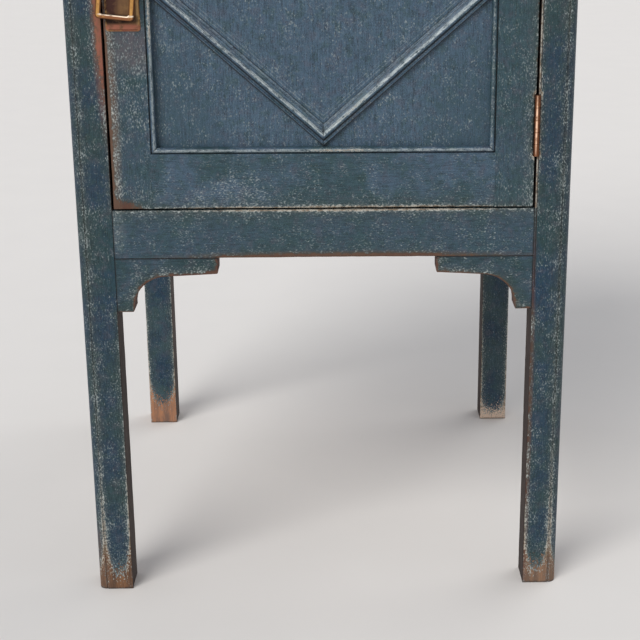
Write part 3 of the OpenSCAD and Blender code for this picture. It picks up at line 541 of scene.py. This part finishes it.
def aged_metal(name, bright, tarnish, rough=0.32, patina=0.6, rim=0.0, marks=()):
    """Handled metal with tarnish in clouds and, as many millimetres wide as rim, a dark band at its
    edges:
    partly tarnish, partly painted shade for the dark reflections that bright edges show.

    marks is a list of (centre, radii, colour, strength): painted highlights, painted shade and painted
    shadows, and stains.
    """
    finish = Finish(name)
    point = finish.place()
    clouds = finish.noise(point, TARNISH, 4.0, 0.62)
    scratches = finish.noise(finish.scaled(point, (1.0, 1.0, 0.12)), SCRATCH, 2.0, 0.6)
    dull = finish.step(clouds + (scratches - 0.5) * 0.25, 0.36, 0.70) * patina
    if rim:
        # A dark band along the edges, partly painted shade for the dark reflections that edges show
        edge = finish.attribute("edge")
        dull = dull.high(1 - finish.step(edge + (clouds - 0.5) * rim * 0.4, rim * 0.35, rim))
    colour = finish.mix(dull, bright, tarnish)
    if marks:
        colour = finish.marks_in_clouds(colour, point, finish.step(clouds, 0.25, 0.55), marks)
    return finish.done(Base_Color=colour, Metallic=1.0 - dull * 0.35,
                       Roughness=rough + dull * 0.28 + scratches * 0.08,
                       Normal=finish.bump(scratches, SCRATCH_DEPTH))


# ---- Paint of the legs, rails and brackets ----

# How far up each foot is bare in the middle of a face, and at its corners, and how pale it is
BARE_FEET = {
    "leg_front_left": (0, 34, 0.0),
    "leg_front_right": (2, 30, 0.1),
    "leg_back_left": (18, 38, 0.15),
    "leg_back_right": (5, 12, 1.0),
}


def leg_feet():
    """Where each foot stands, and how it is worn."""
    feet = []
    for leg, bare in BARE_FEET.items():
        low, high = box_mm(leg)
        feet.append(((low.x + high.x) / 2, (low.y + high.y) / 2, *bare))
    return feet


hinge_flecks = [((HINGE_X, FRONT, z), (6, 5, 6), 0.8) for z in (HINGE_LOW.z, HINGE_HIGH.z)]
leg_boosts = [((LEG_INNER, FRONT, HANDLE_MID - 5), (14, 20, 160), 0.45),
              ((-LEG_INNER, FRONT, HINGE_MID + 12.5), (6, 8, 190), 0.8)]
leg_rubs = [((LEG_INNER, FRONT, HANDLE_MID), (10, 8, 110), 0.72),
            ((-LEG_INNER, FRONT, 150), (4.5, 8, 170), 0.25)]
leg_thinned = hinge_flecks + [((LEG_INNER - 9, FRONT, HANDLE_MID - 25), (6, 8, 115), 0.40)]
leg_tints = [((LEG_INNER, FRONT, HANDLE_MID - 10), (10, 8, 125), ROSE, 0.95),
             ((LEG_OUTER, FRONT, 20), (14, 8, 60), BROWN, 0.7),
             ((-LEG_INNER, FRONT, 130), (5, 8, 260), UMBER, 1.1)]
leg_paint = painted("leg_paint", Z, light=DEEP, dark=SPRUCE, edge=0.62, width=3.6, bare=0.2,
                    wood=FOOT_WOOD, rubs=leg_rubs, boosts=leg_boosts, thinned=leg_thinned,
                    tints=leg_tints, feet=leg_feet(), kept=0.2, joint_line=0.3)
back_leg_paint = painted("back_leg_paint", Z, light=TEAL, dark=DEEP, dust=0.5, edge=0.7,
                         width=3.2, bare=0.15, wood=(AMBER, UMBER), feet=leg_feet(), kept=0.35,
                         joint_line=0.3)

rail_boosts = [((20, FRONT, RAIL_FOOT), (150, 10, 8), 0.4),
               ((20, FRONT, RAIL_TOP), (190, 10, 5), 0.45)]
rail_rubs = [((20, FRONT, RAIL_FOOT), (190, 8, 6), 0.6)]
rail_flecks_and_gap_light = [((LEG_INNER + 4, FRONT, RAIL_TOP - 18), (9, 5, 28), 0.42),
                # The next mark puts cream on the top of the rail in the gap under the door: painted
                # light over its shade
                ((20, FRONT, RAIL_TOP + 1), (190, 12, 3), 0.5)]
rail_tints = [((LEG_INNER + 4, FRONT, RAIL_TOP - 18), (9, 5, 26), HOAR, 0.16),
              ((20, FRONT, RAIL_FOOT), (200, 8, 7), BROWN, 0.8)]
rail_paint = painted("rail_paint", X, light=TEAL, dark=STEEL_BLUE, wood=(BROWN, UMBER), edge=0.6,
                     thinned=rail_flecks_and_gap_light, boosts=rail_boosts, rubs=rail_rubs, tints=rail_tints)

bracket_rubs = [((-BRACKET_END, FRONT, RAIL_FOOT - 16), (12, 20, 8), 0.48)]
bracket_thinned = [((side * (BRACKET_END + reach), FRONT, RAIL_FOOT - 12), (16, 20, 9), 0.34)
                   for side in (-1, 1) for reach in (14, 38)]
bracket_paint = painted("bracket_paint", X, light=STEEL_BLUE, dark=SPRUCE, edge=0.8, width=2.4,
                        bare=0.8, wood=(BROWN, UMBER), rubs=bracket_rubs, thinned=bracket_thinned,
                        dust=1.5)

# ---- Paint of the sides, back and top ----

side_dust = [((side * SIDE_FACE, y, DOOR_MID + up), (20, 60, 130), 0.10)
             for side in (-1, 1) for y, up in ((-70, -90), (90, 70))]
side_thinned = [((side * SIDE_FACE, y, DOOR_MID + up), (20, reach, 14), 0.22)
                for side in (-1, 1) for y, up, reach in ((-40, -128, 70), (70, 40, 40), (20, 135, 55))]
back_tints = [((x, BACK_FACE, DOOR_MID + up), (60, 20, 110), colour, 0.5)
              for x, up, colour in ((-90, 120, MOSS), (60, -100, SPRUCE), (110, 100, MAUVE))]
side_paint = painted("side_paint", Y, edge=0.7, dusty=side_dust)
upright_paint = painted("upright_paint", Z, edge=0.6, dusty=side_dust, thinned=side_thinned,
                        tints=back_tints)

top_dust = [((x, y, TOP_FACE), (reach, reach * 0.6, 10), 0.16)
            for x, y, reach in ((-60, -60, 110), (90, 60, 90), (40, -150, 70))]
top_thinned = [((x, y, TOP_FACE), (46, 22, 10), 0.3)
               for x, y in ((-150, -190), (150, -170), (-40, 40), (110, -60))]
top_tints = [((x, y, TOP_FACE), (95, 75, 10), colour, 0.55)
             for x, y, colour in ((-90, 40, MAUVE), (60, -50, PINE_GREEN), (130, 130, MOSS))]
top_paint = painted("top_paint", X, edge=0.9, width=3.5, dusty=top_dust, thinned=top_thinned,
                    tints=top_tints)

# ---- Paint of the door ----

door_boosts = [((15, FRONT, DOOR_FOOT), (190, 10, 5), 0.75)]
door_rubs = [((DOOR_EDGE, FRONT, DOOR_FOOT), (30, 6, 14), 0.60),
             ((DOOR_EDGE, FRONT, HANDLE_MID - 100), (4.5, 8, 135), 0.50)]
door_thinned = [((DOOR_EDGE + 5, FRONT, HANDLE_MID - 95), (8, 6, 130), 0.55),
                ((DOOR_EDGE + 14, FRONT, DOOR_FOOT + 14), (20, 6, 16), 0.35)] + hinge_flecks
door_dust = [((-75, FRONT, DOOR_FOOT + 8), (45, 10, 30), 0.12),
             ((DOOR_EDGE + 25, FRONT, HANDLE_MID - 85), (26, 8, 60), 0.10),
             ((HINGE_X - 6, FRONT, HINGE_MID - 17.5), (7, 8, 130), 0.08)]
door_stains_and_shadow = [((DOOR_EDGE, FRONT, HANDLE_MID - 95), (11, 8, 140), BROWN, 1.0),
              # The next mark, dark brown down the stile's edge beside the plate, is partly painted
              # shadow of the bail
              ((DOOR_EDGE + 2, FRONT, PLATE_LOW.z + 34), (9, 8, 44), UMBER, 1.2),
              ((DOOR_EDGE + 22, FRONT, PLATE_LOW.z - 14), (24, 8, 26), MAUVE, 0.6)]
door_wear = {"edge": 0.7, "wood": (BROWN, UMBER), "rubs": door_rubs, "boosts": door_boosts,
             "thinned": door_thinned, "dusty": door_dust, "tints": door_stains_and_shadow, "kept": 0.1,
             "joint_line": 0.5}
# The door's paints are set lighter than the legs', partly as painted light for the light on the door
stile_paint = painted("stile_paint", Z, light=STEEL_BLUE, dark=TEAL, **door_wear)
door_rail_paint = painted("door_rail_paint", X, **door_wear)

# Darker paint at the panel's lower corners, outside the lozenge and beside the frame: painted shade
panel_corner_shade = [((side * 125, PANEL_FACE, BEAD_LOW.z + 5), (60, 8, 110), TEAL, 0.6) for side in (-1, 1)]
# On the mouldings below, pale ridges are partly rubbed paint, partly painted highlight; hollows are
# painted shade
panel_lines = Moulding(panel_across, [(16.2, 0.6, 0.5), (18.6, 0.5, 0.4), (21.0, 0.4, 0.2)], [])
panel_paint = painted("panel_paint", Z, light=PEWTER, dark=SLATE, edge=0.0, bare=0.0,
                      joint_line=0.6, rub_and_highlight=0.3, tints=panel_corner_shade, moulding=panel_lines)

lozenge_thinned = [((30, PANEL_FACE, LOZENGE_LOW.z + 26), (40, 14, 34), 0.36)]
lozenge_ridges = Moulding(lozenge_across, [(7.3, 1.6, 1.0), (10.8, 1.8, 0.06), (12.9, 0.9, 0.2)],
                          [(0.1, 1.2, 0.9), (3.7, 1.2, 0.75)], along=lozenge_along)
lozenge_paint = painted("lozenge_paint", Z, light=PEWTER, dark=SLATE, edge=0.1, bare=0.0,
                        joint_line=0.25, rub_and_highlight=0.85, thinned=lozenge_thinned, moulding=lozenge_ridges)

bead_thinned = [((BEAD_LOW.x + 3, FRONT, DOOR_MID - 15), (8, 10, 34), 0.5),
                ((14, FRONT, BEAD_LOW.z + 3), (34, 10, 7), 0.5)]
upright_bead = Moulding(bead_across, [(3.5, 1.5, 1.0)], [(0.4, 1.2, 0.65), (6.6, 1.6, 0.5)])
left_bead_paint, right_bead_paint = [
    painted(name, Z, thinned=bead_thinned, edge=0.1, bare=0.0, joint_line=0.35, rub_and_highlight=rub_and_highlight,
            moulding=upright_bead)
    for name, rub_and_highlight in (("left_bead_paint", 0.35), ("right_bead_paint", 0.08))]
level_bead = Moulding(bead_across, [(2.8, 1.6, 1.0), (7.8, 0.6, 0.6)], [(0.4, 1.2, 0.5)])
level_bead_paint = painted("level_bead_paint", X, thinned=bead_thinned, edge=0.1, bare=0.0,
                           joint_line=0.45, rub_and_highlight=0.45, moulding=level_bead)

# ---- Unpainted wood, and the catch's brown case ----

# Bare inner sides of the legs, darkened as painted shade
shaded_leg_wood = old_wood("shaded_leg_wood", Z, *SHADED_LEG_WOOD)
under_wood = old_wood("under_wood", X, AMBER, RUST, stain=0.6)
sawn_edge = old_wood("sawn_edge", Z, *SAWN_WOOD)
inner_wood = old_wood("inner_wood", Z, *INNER_WOOD)
shelf_wood = old_wood("shelf_wood", X, *SHELF_WOOD)
catch_case = old_wood("catch_case", Y, *CATCH_CASE, dull=0.34)

# ---- Metals ----

BAIL_LEAN = math.tan(math.radians(6.2))

# Painted shade down both sides of the hinge's barrel, and a painted highlight down its middle
hinge_highlight_and_shade = [((HINGE_X - 2.8, FRONT, HINGE_MID), (2.0, 6, 60), DARK_COPPER, 1.3),
               ((HINGE_X + 2.8, FRONT, HINGE_MID), (2.0, 6, 60), DARK_COPPER, 1.3),
               ((HINGE_X - 0.5, FRONT - 3, HINGE_MID), (1.1, 4, 36), ROSE_GOLD, 1.2)]
# Painted highlight along the top of the bail's foot, where hands also rub it bright, and painted shade
# on its lower half; the foot hangs out of level, so both follow the lean
bail_highlight_and_shade = [((BAIL_X + x, BAIL_LOW.y, BAIL_LOW.z + up - x * BAIL_LEAN), (6.5, 5, reach), colour, 1.3)
              for x in (-10, -5, 0, 5, 9)
              for up, reach, colour in ((2.9, 1.3, WARM_BRASS), (4.8, 1.15, BRIGHT_GOLD))]
# Painted shadow of the bail on the plate's left, a painted highlight and shade on its right border, a
# coppery band along its foot, and a painted shadow under the bail's foot
plate_light_and_shade = [((PLATE_X + x, PLATE_LOW.y, PLATE_LOW.z + up), radii, colour, strength)
               for x, up, radii, colour, strength in (
                   (-11, 30, (12, 5, 40), OXBLOOD, 1.2),
                   (12, 34, (1.6, 5, 44), OLD_GOLD, 1.0),
                   (14.2, 34, (1.8, 5, 44), CHESTNUT, 1.2),
                   (0, 2.5, (26, 5, 5.0), COPPER, 1.1),
                   (-4, 9.5, (26, 5, 5.0), BAIL_SHADOW_BROWN, 1.1))]
# The rim given to the bail and the plate paints their edges dark: painted shade for dark reflections
hinge_brass = aged_metal("hinge_brass", *HINGE_METAL, rough=0.30, marks=hinge_highlight_and_shade)
handle_brass = aged_metal("handle_brass", *HANDLE_METAL, rough=0.26, patina=0.45)
bail_brass = aged_metal("bail_brass", *BAIL_METAL, rough=0.24, patina=0.55, rim=1.7, marks=bail_highlight_and_shade)
plate_brass = aged_metal("plate_brass", *PLATE_METAL, rough=0.40, patina=0.7, rim=0.5,
                         marks=plate_light_and_shade)
steel = aged_metal("steel", *STEEL, rough=0.38)


# ---- Meshes ----

WELD = 1e-6
FLAT_ANGLE = math.radians(0.2)
SMOOTH_ANGLE = math.radians(40)
ARRIS_ANGLE = math.radians(18)
CORNER_ANGLE = math.radians(35)
ARRIS_LINES = (0.7 * MM, 1.6 * MM, 3.2 * MM, 6.0 * MM)
ARRIS_STEP = 1.5 * MM
ROW_GAP = 0.3 * MM
ROW_SPACING = 5 * MM
JOINT_REACH = 1.2 * MM
QUIRK_REACH = 3 * MM
PAINTED_QUIRK = 1 * MM
WEAR_DEPTH = 0.5 * MM
WEAR_REACH = 3.4 * MM
ROUNDING_STEPS = 4
NEAREST = 4
# In millimetres
FAR_AWAY = 90.0
SLOW_WEAR, QUICK_WEAR = 36.0, 6.5
SEED_STEP = 7.3


def welded(node):
    """A copy of a CAD node's mesh with its flat faces joined up."""
    bm = bmesh.new()
    bm.from_mesh(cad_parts[node].data)
    bmesh.ops.remove_doubles(bm, verts=bm.verts, dist=WELD)
    bmesh.ops.dissolve_limit(bm, angle_limit=FLAT_ANGLE, verts=bm.verts, edges=bm.edges)
    return bm


def cut_across(bm, axis, places):
    """Cuts new rows of points where the mesh meets planes across an axis."""
    normal = Vector([1.0 if i == axis else 0.0 for i in range(3)])
    for place in places:
        bmesh.ops.bisect_plane(bm, geom=bm.verts[:] + bm.edges[:] + bm.faces[:],
                               plane_co=normal * place, plane_no=normal, dist=WELD)


def row_places(low, high, spacing):
    """Even rows between two sides."""
    count = max(2, round((high - low) / spacing))
    return [low + (high - low) * i / count for i in range(1, count)]


def places_beside(stretches, axis, low, high):
    """Close rows on both sides of each edge that runs square to an axis."""
    levels = {round(one[axis] / MM, 1) for one, two in stretches if abs(one[axis] - two[axis]) < WELD}
    places = []
    for level in sorted(levels | {round(low / MM, 1), round(high / MM, 1)}):
        for line in ARRIS_LINES:
            places += [level * MM - line, level * MM + line]
    chosen = []
    for place in sorted(places):
        if low + ROW_GAP < place < high - ROW_GAP and (not chosen or place > chosen[-1] + ROW_GAP):
            chosen.append(place)
    return chosen


def touches(node, point):
    """The name of another wooden piece that lies against a point of this one, if any does."""
    for other, tree in wooden_trees.items():
        if other != node and tree.find_nearest(point, JOINT_REACH)[0] is not None:
            return other
    return None


def sheltered(point):
    """Whether a point is inside the door's bead, where hands and brooms don't reach."""
    x, y, z = point / MM
    inside = BEAD_LOW.x - 1 < x < BEAD_HIGH.x + 1 and BEAD_LOW.z - 1 < z < BEAD_HIGH.z + 1
    return inside and y < PANEL_FACE + 2


def sharp_edges(bm, node, flush):
    """Short stretches of a piece's sharp edges: those left open, and those that close on a joint.

    flush names the pieces whose joints with this one are painted over.
    """
    open_stretches, joint_stretches = [], []
    for edge in bm.edges:
        if len(edge.link_faces) != 2 or edge.calc_face_angle() < ARRIS_ANGLE:
            continue
        start, end = edge.verts[0].co, edge.verts[1].co
        count = max(1, round((end - start).length / ARRIS_STEP))
        points = [start.lerp(end, i / count) for i in range(count + 1)]
        for one, two in zip(points, points[1:]):
            neighbour = touches(node, (one + two) / 2)
            if neighbour is None and edge.is_convex and not sheltered((one + two) / 2):
                open_stretches.append((one.copy(), two.copy()))
            elif neighbour and neighbour not in flush and edge.calc_face_angle() > CORNER_ANGLE:
                joint_stretches.append((one.copy(), two.copy()))
    return open_stretches, joint_stretches


def stretch_distances(bm, stretches):
    """For every point of a mesh, how many millimetres away the nearest stretch is."""
    if not stretches:
        return [FAR_AWAY] * len(bm.verts)
    tree = kdtree.KDTree(len(stretches))
    for index, (one, two) in enumerate(stretches):
        tree.insert((one + two) / 2, index)
    tree.balance()
    distances = []
    for vert in bm.verts:
        nearest = FAR_AWAY * MM
        for _, index, _ in tree.find_n(vert.co, NEAREST):
            one, two = stretches[index]
            share = geometry.intersect_point_line(vert.co, one, two)[1]
            on_edge = one.lerp(two, min(1.0, max(0.0, share)))
            nearest = min(nearest, (vert.co - on_edge).length)
        distances.append(nearest / MM)
    return distances


def fill_quirk(bm, node):
    """Leaves the quirk on the front of a leg as shallow as coats of old paint do."""
    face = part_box(node)[0].y
    bottom = {vert for edge in bm.edges
              if len(edge.link_faces) == 2 and not edge.is_convex
              and edge.calc_face_angle() > CORNER_ANGLE
              for vert in edge.verts if vert.co.y - face < QUIRK_REACH}
    for vert in bottom:
        vert.co.y = face + PAINTED_QUIRK


def dent(bm, from_edge, depth, seed):
    """Wears the open edges of a piece down by uneven amounts."""
    bm.normal_update()
    moves = []
    for vert, distance in zip(bm.verts, from_edge):
        near = 1 - distance * MM / WEAR_REACH
        if near <= 0:
            continue
        at = vert.co / MM + Vector((seed, seed * 0.3, 0))
        slow = noise.noise(at / SLOW_WEAR) * 0.5 + 0.5
        quick = noise.noise(at / QUICK_WEAR) * 0.5 + 0.5
        amount = depth * (0.25 + slow * slow + max(0.0, quick - 0.52) * 2.2)
        moves.append((vert, vert.normal * (amount * near ** 3)))
    for vert, move in moves:
        vert.co -= move


def store(mesh, name, values):
    """Saves a number on every point of a mesh."""
    attribute = mesh.attributes.new(name, "FLOAT", "POINT")
    attribute.data.foreach_set("value", values)


def finish_piece(bm, name, body, materials):
    """Turns a mesh under construction into a piece of the cupboard."""
    mesh = bpy.data.meshes.new(name)
    bm.to_mesh(mesh)
    bm.free()
    for material in materials:
        mesh.materials.append(material)
    for polygon in mesh.polygons:
        polygon.use_smooth = True
    mesh.set_sharp_from_angle(angle=SMOOTH_ANGLE)
    piece = bpy.data.objects.new(name, mesh)
    bpy.context.scene.collection.objects.link(piece)
    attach(piece, body)
    return piece


def leave_bare(bm, directions):
    """Gives the second finish to faces that look one of these ways."""
    for face in bm.faces:
        turned = max((face.normal.dot(Vector(way)) for way in directions), default=0)
        face.material_index = 1 if turned > 0.7 else 0


def worn_member(node, grain, body, slot, materials, bare=(), flush=(), fine=(), depth=WEAR_DEPTH,
                spacing=ROW_SPACING):
    """A wooden member again, its open edges worn uneven.

    bare is the directions that were never painted; fine is the axes besides the grain
    that need close rows, for a shaped outline.
    """
    low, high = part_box(node)
    bm = welded(node)
    if node.startswith("leg_front"):
        fill_quirk(bm, node)
    open_stretches, joint_stretches = sharp_edges(bm, node, flush)
    for axis in range(3):
        wide = spacing if axis == grain or axis in fine else high[axis] - low[axis]
        rows = row_places(low[axis], high[axis], wide)
        cut_across(bm, axis, rows + places_beside(open_stretches, axis, low[axis], high[axis]))
    from_edge = stretch_distances(bm, open_stretches)
    from_joint = stretch_distances(bm, joint_stretches)
    dent(bm, from_edge, depth, seed=len(node) * SEED_STEP)
    leave_bare(bm, bare)
    piece = finish_piece(bm, "worn_" + node, body, materials)
    store(piece.data, "edge", from_edge)
    store(piece.data, "joint", from_joint)
    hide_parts(node)


def eased_metal(node, body, material, ease, flats, inset=0.0):
    """A metal piece again, its sharp edges rounded over as casting and handling leave them.

    flats is an axis: only the edges that lie in its two outermost planes are rounded.
    inset is the width of a ring of points inside each rounding, where the painted dark edge can fade.
    """
    low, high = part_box(node)
    bm = welded(node)
    rims = [edge for edge in bm.edges
            if len(edge.link_faces) == 2 and edge.is_convex and edge.calc_face_angle() > CORNER_ANGLE
            and all(min(vert.co[flats] - low[flats], high[flats] - vert.co[flats]) < WELD
                    for vert in edge.verts)]
    stretches = [(edge.verts[0].co.copy(), edge.verts[1].co.copy()) for edge in rims]
    bmesh.ops.bevel(bm, geom=rims, offset=ease, segments=ROUNDING_STEPS, profile=0.5,
                    affect="EDGES", clamp_overlap=True)
    if inset:
        flat = [face for face in bm.faces if abs(face.normal[flats]) > 0.999 and len(face.verts) > 4]
        bmesh.ops.inset_individual(bm, faces=flat, thickness=inset)
    from_edge = stretch_distances(bm, stretches)
    piece = finish_piece(bm, "eased_" + node, body, [material])
    store(piece.data, "edge", from_edge)
    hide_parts(node)


# ---- Worn wooden members ----

CARCASE, DOOR, HANDLE = "carcase_paint", "door_paint", "handle_brass"
LEFT, RIGHT, FORWARD, BACK, DOWN = (-1, 0, 0), (1, 0, 0), (0, -1, 0), (0, 1, 0), (0, 0, -1)
DOOR_FRAME = ("door_stile_left", "door_stile_right", "door_rail_lower", "door_rail_upper")
BRACKET_CUTS = {"fine": (Z,), "depth": 0.22 * MM, "spacing": 2.5 * MM}

# Node, grain, materials, and the ways in which bare faces look
CARCASE_MEMBERS = [
    ("leg_front_left", Z, [leg_paint, shaded_leg_wood], [RIGHT]),
    ("leg_front_right", Z, [leg_paint, shaded_leg_wood], [LEFT]),
    ("leg_back_left", Z, [back_leg_paint, shaded_leg_wood], [RIGHT]),
    ("leg_back_right", Z, [back_leg_paint, shaded_leg_wood], [LEFT]),
    ("front_rail_lower", X, [rail_paint, under_wood], [BACK, DOWN]),
    ("front_rail_upper", X, [rail_paint, inner_wood], [BACK, DOWN]),
    ("back_rail_lower", X, [rail_paint, under_wood], [FORWARD, DOWN]),
    ("back_rail_upper", X, [rail_paint, inner_wood], [FORWARD, DOWN]),
    ("side_rail_lower_left", Y, [side_paint, under_wood], [RIGHT, DOWN]),
    ("side_rail_lower_right", Y, [side_paint, under_wood], [LEFT, DOWN]),
    ("side_rail_upper_left", Y, [side_paint, inner_wood], [RIGHT, DOWN]),
    ("side_rail_upper_right", Y, [side_paint, inner_wood], [LEFT, DOWN]),
    ("side_panel_left", Z, [upright_paint, inner_wood], [RIGHT]),
    ("side_panel_right", Z, [upright_paint, inner_wood], [LEFT]),
    ("back_boards", Z, [upright_paint, inner_wood], [FORWARD]),
    ("bracket_left", X, [bracket_paint, sawn_edge], [BACK, DOWN, RIGHT]),
    ("bracket_right", X, [bracket_paint, sawn_edge], [BACK, DOWN, LEFT]),
    ("top_board", X, [top_paint], []),
    ("door_stop", Z, [upright_paint], []),
]
# Node, grain and material
DOOR_MEMBERS = [
    ("door_stile_left", Z, stile_paint),
    ("door_stile_right", Z, stile_paint),
    ("door_rail_lower", X, door_rail_paint),
    ("door_rail_upper", X, door_rail_paint),
    ("door_panel", Z, panel_paint),
    ("bead_left", Z, left_bead_paint),
    ("bead_right", Z, right_bead_paint),
    ("bead_lower", X, level_bead_paint),
    ("bead_upper", X, level_bead_paint),
    ("lozenge_lower_left", X, lozenge_paint),
    ("lozenge_lower_right", X, lozenge_paint),
    ("lozenge_upper_left", X, lozenge_paint),
    ("lozenge_upper_right", X, lozenge_paint),
]
PLAIN_WOOD = ["bottom_board", "bearer_left", "bearer_right"]


def node_tree(node):
    """The surface of a solid, to find the nearest point on."""
    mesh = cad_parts[node].data
    return bvhtree.BVHTree.FromPolygons([vert.co for vert in mesh.vertices],
                                        [list(polygon.vertices) for polygon in mesh.polygons])


wooden_nodes = [member[0] for member in CARCASE_MEMBERS + DOOR_MEMBERS] + PLAIN_WOOD
wooden_trees = {node: node_tree(node) for node in wooden_nodes}

for node, grain, materials, bare in CARCASE_MEMBERS:
    cuts = BRACKET_CUTS if node.startswith("bracket") else {}
    worn_member(node, grain, "carcase", CARCASE, materials, bare=bare, **cuts)
for node, grain, material in DOOR_MEMBERS:
    worn_member(node, grain, "door", DOOR, [material], flush=DOOR_FRAME)

# ---- Handle, and the solids that stay ----

eased_metal("bail", "bail", bail_brass, 0.9 * MM, flats=Y, inset=1.0 * MM)
eased_metal("handle_plate", "door", plate_brass, 0.5 * MM, flats=Y)

KEPT = {
    shelf_wood: PLAIN_WOOD + ["top_buttons"],
    hinge_brass: ["hinge_leaf_frame_lower", "hinge_leaf_frame_upper", "hinge_leaf_door_lower",
                  "hinge_leaf_door_upper", "hinge_frame_screws", "hinge_door_screws",
                  "hinge_pin_lower", "hinge_pin_upper"],
    handle_brass: ["handle_posts", "handle_nuts"],
    steel: ["bearer_screws", "button_screws", "catch_poles", "catch_screws", "keeper_plate",
            "keeper_screw"],
    catch_case: ["catch_body"],
}
for material, nodes in KEPT.items():
    for node in nodes:
        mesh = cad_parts[node].data
        mesh.materials.clear()
        mesh.materials.append(material)

# ---- Floor, light and camera ----

FLOOR_COLOUR = (0.70, 0.67, 0.63)
FLOOR_RADIUS, FLOOR_SIDES = 9.0, 96

# Name, the direction it comes from, strength, and spread in degrees
SUNS = [("key", (-0.45, -0.66, 0.62), 2.3, 35), ("back", (0.75, 0.60, 0.45), 0.9, 50)]
SKY_COLOUR, SKY_STRENGTH = (0.86, 0.90, 1.0), 0.55
BACKDROP_COLOUR, BACKDROP_STRENGTH = (0.80, 0.77, 0.73), 1.0
BACKDROP_RAYS = ("Is Camera Ray", "Is Glossy Ray", "Is Transmission Ray")

SENSOR_WIDTH = 36.0
NEAR_CLIP = 0.05
PHOTO_WIDTH = 640
PRINCIPAL_X = 384
FOCAL_PIXELS = 1467.7
CAMERA_PLACE = Vector((7.6, -1391.3, 638.0)) * MM
CAMERA_YAW = math.radians(2.03)
CAMERA_PITCH = math.radians(18.06)
CAMERA_ROLL = math.radians(-0.09)


def make_floor():
    """A wide pale disc that catches the cupboard's shadow."""
    bm = bmesh.new()
    bmesh.ops.create_circle(bm, cap_ends=True, radius=FLOOR_RADIUS, segments=FLOOR_SIDES)
    mesh = bpy.data.meshes.new("floor")
    bm.to_mesh(mesh)
    bm.free()
    finish = Finish("floor")
    mottle = finish.noise(finish.place(), MOTTLE, 3.0)
    colour = finish.shade(FLOOR_COLOUR, 0.98 + mottle * 0.04)
    mesh.materials.append(finish.done(Base_Color=colour, Roughness=0.9))
    floor = bpy.data.objects.new("floor", mesh)
    bpy.context.scene.collection.objects.link(floor)


def make_sun(name, direction, strength, spread):
    """Soft light that falls everywhere alike, from a direction."""
    data = bpy.data.lights.new(name, "SUN")
    data.energy = strength
    data.angle = math.radians(spread)
    lamp = bpy.data.objects.new(name, data)
    lamp.rotation_euler = Vector(direction).to_track_quat("Z", "Y").to_euler()
    bpy.context.scene.collection.objects.link(lamp)


class Surroundings(Finish):
    """The world's light under construction."""

    def __init__(self, name):
        self.open(bpy.data.worlds.new(name), "World Output")

    def glow(self, colour, strength):
        return self.node("ShaderNodeBackground", None, {"Color": colour, "Strength": strength})


def make_world():
    """Even light from all round, and a pale background to the camera and in gloss and glass."""
    sky = Surroundings("studio")
    camera, gloss, glass = [sky.node("ShaderNodeLightPath", output=ray) for ray in BACKDROP_RAYS]
    seen = camera.high(gloss).high(glass)
    light = sky.glow(SKY_COLOUR, SKY_STRENGTH)
    backdrop = sky.glow(BACKDROP_COLOUR, BACKDROP_STRENGTH)
    shown = sky.node("ShaderNodeMixShader", None, [seen, light, backdrop])
    bpy.context.scene.world = sky.done(Surface=shown)


def make_camera():
    """The photograph's camera: its place, its turn and its off-centre axis."""
    data = bpy.data.cameras.new("camera")
    data.sensor_width = SENSOR_WIDTH
    data.lens = FOCAL_PIXELS * SENSOR_WIDTH / PHOTO_WIDTH
    data.shift_x = (PHOTO_WIDTH / 2 - PRINCIPAL_X) / PHOTO_WIDTH
    data.clip_start = NEAR_CLIP
    turn = Matrix.Rotation(-CAMERA_YAW, 4, "Z") @ Matrix.Rotation(math.pi / 2 - CAMERA_PITCH, 4, "X")
    turn = turn @ Matrix.Rotation(-CAMERA_ROLL, 4, "Z")
    camera = bpy.data.objects.new("camera", data)
    camera.matrix_world = Matrix.Translation(CAMERA_PLACE) @ turn
    bpy.context.scene.collection.objects.link(camera)
    bpy.context.scene.camera = camera


make_floor()
make_world()
for sun in SUNS:
    make_sun(*sun)
make_camera()
bpy.context.scene.view_settings.view_transform = "Standard"
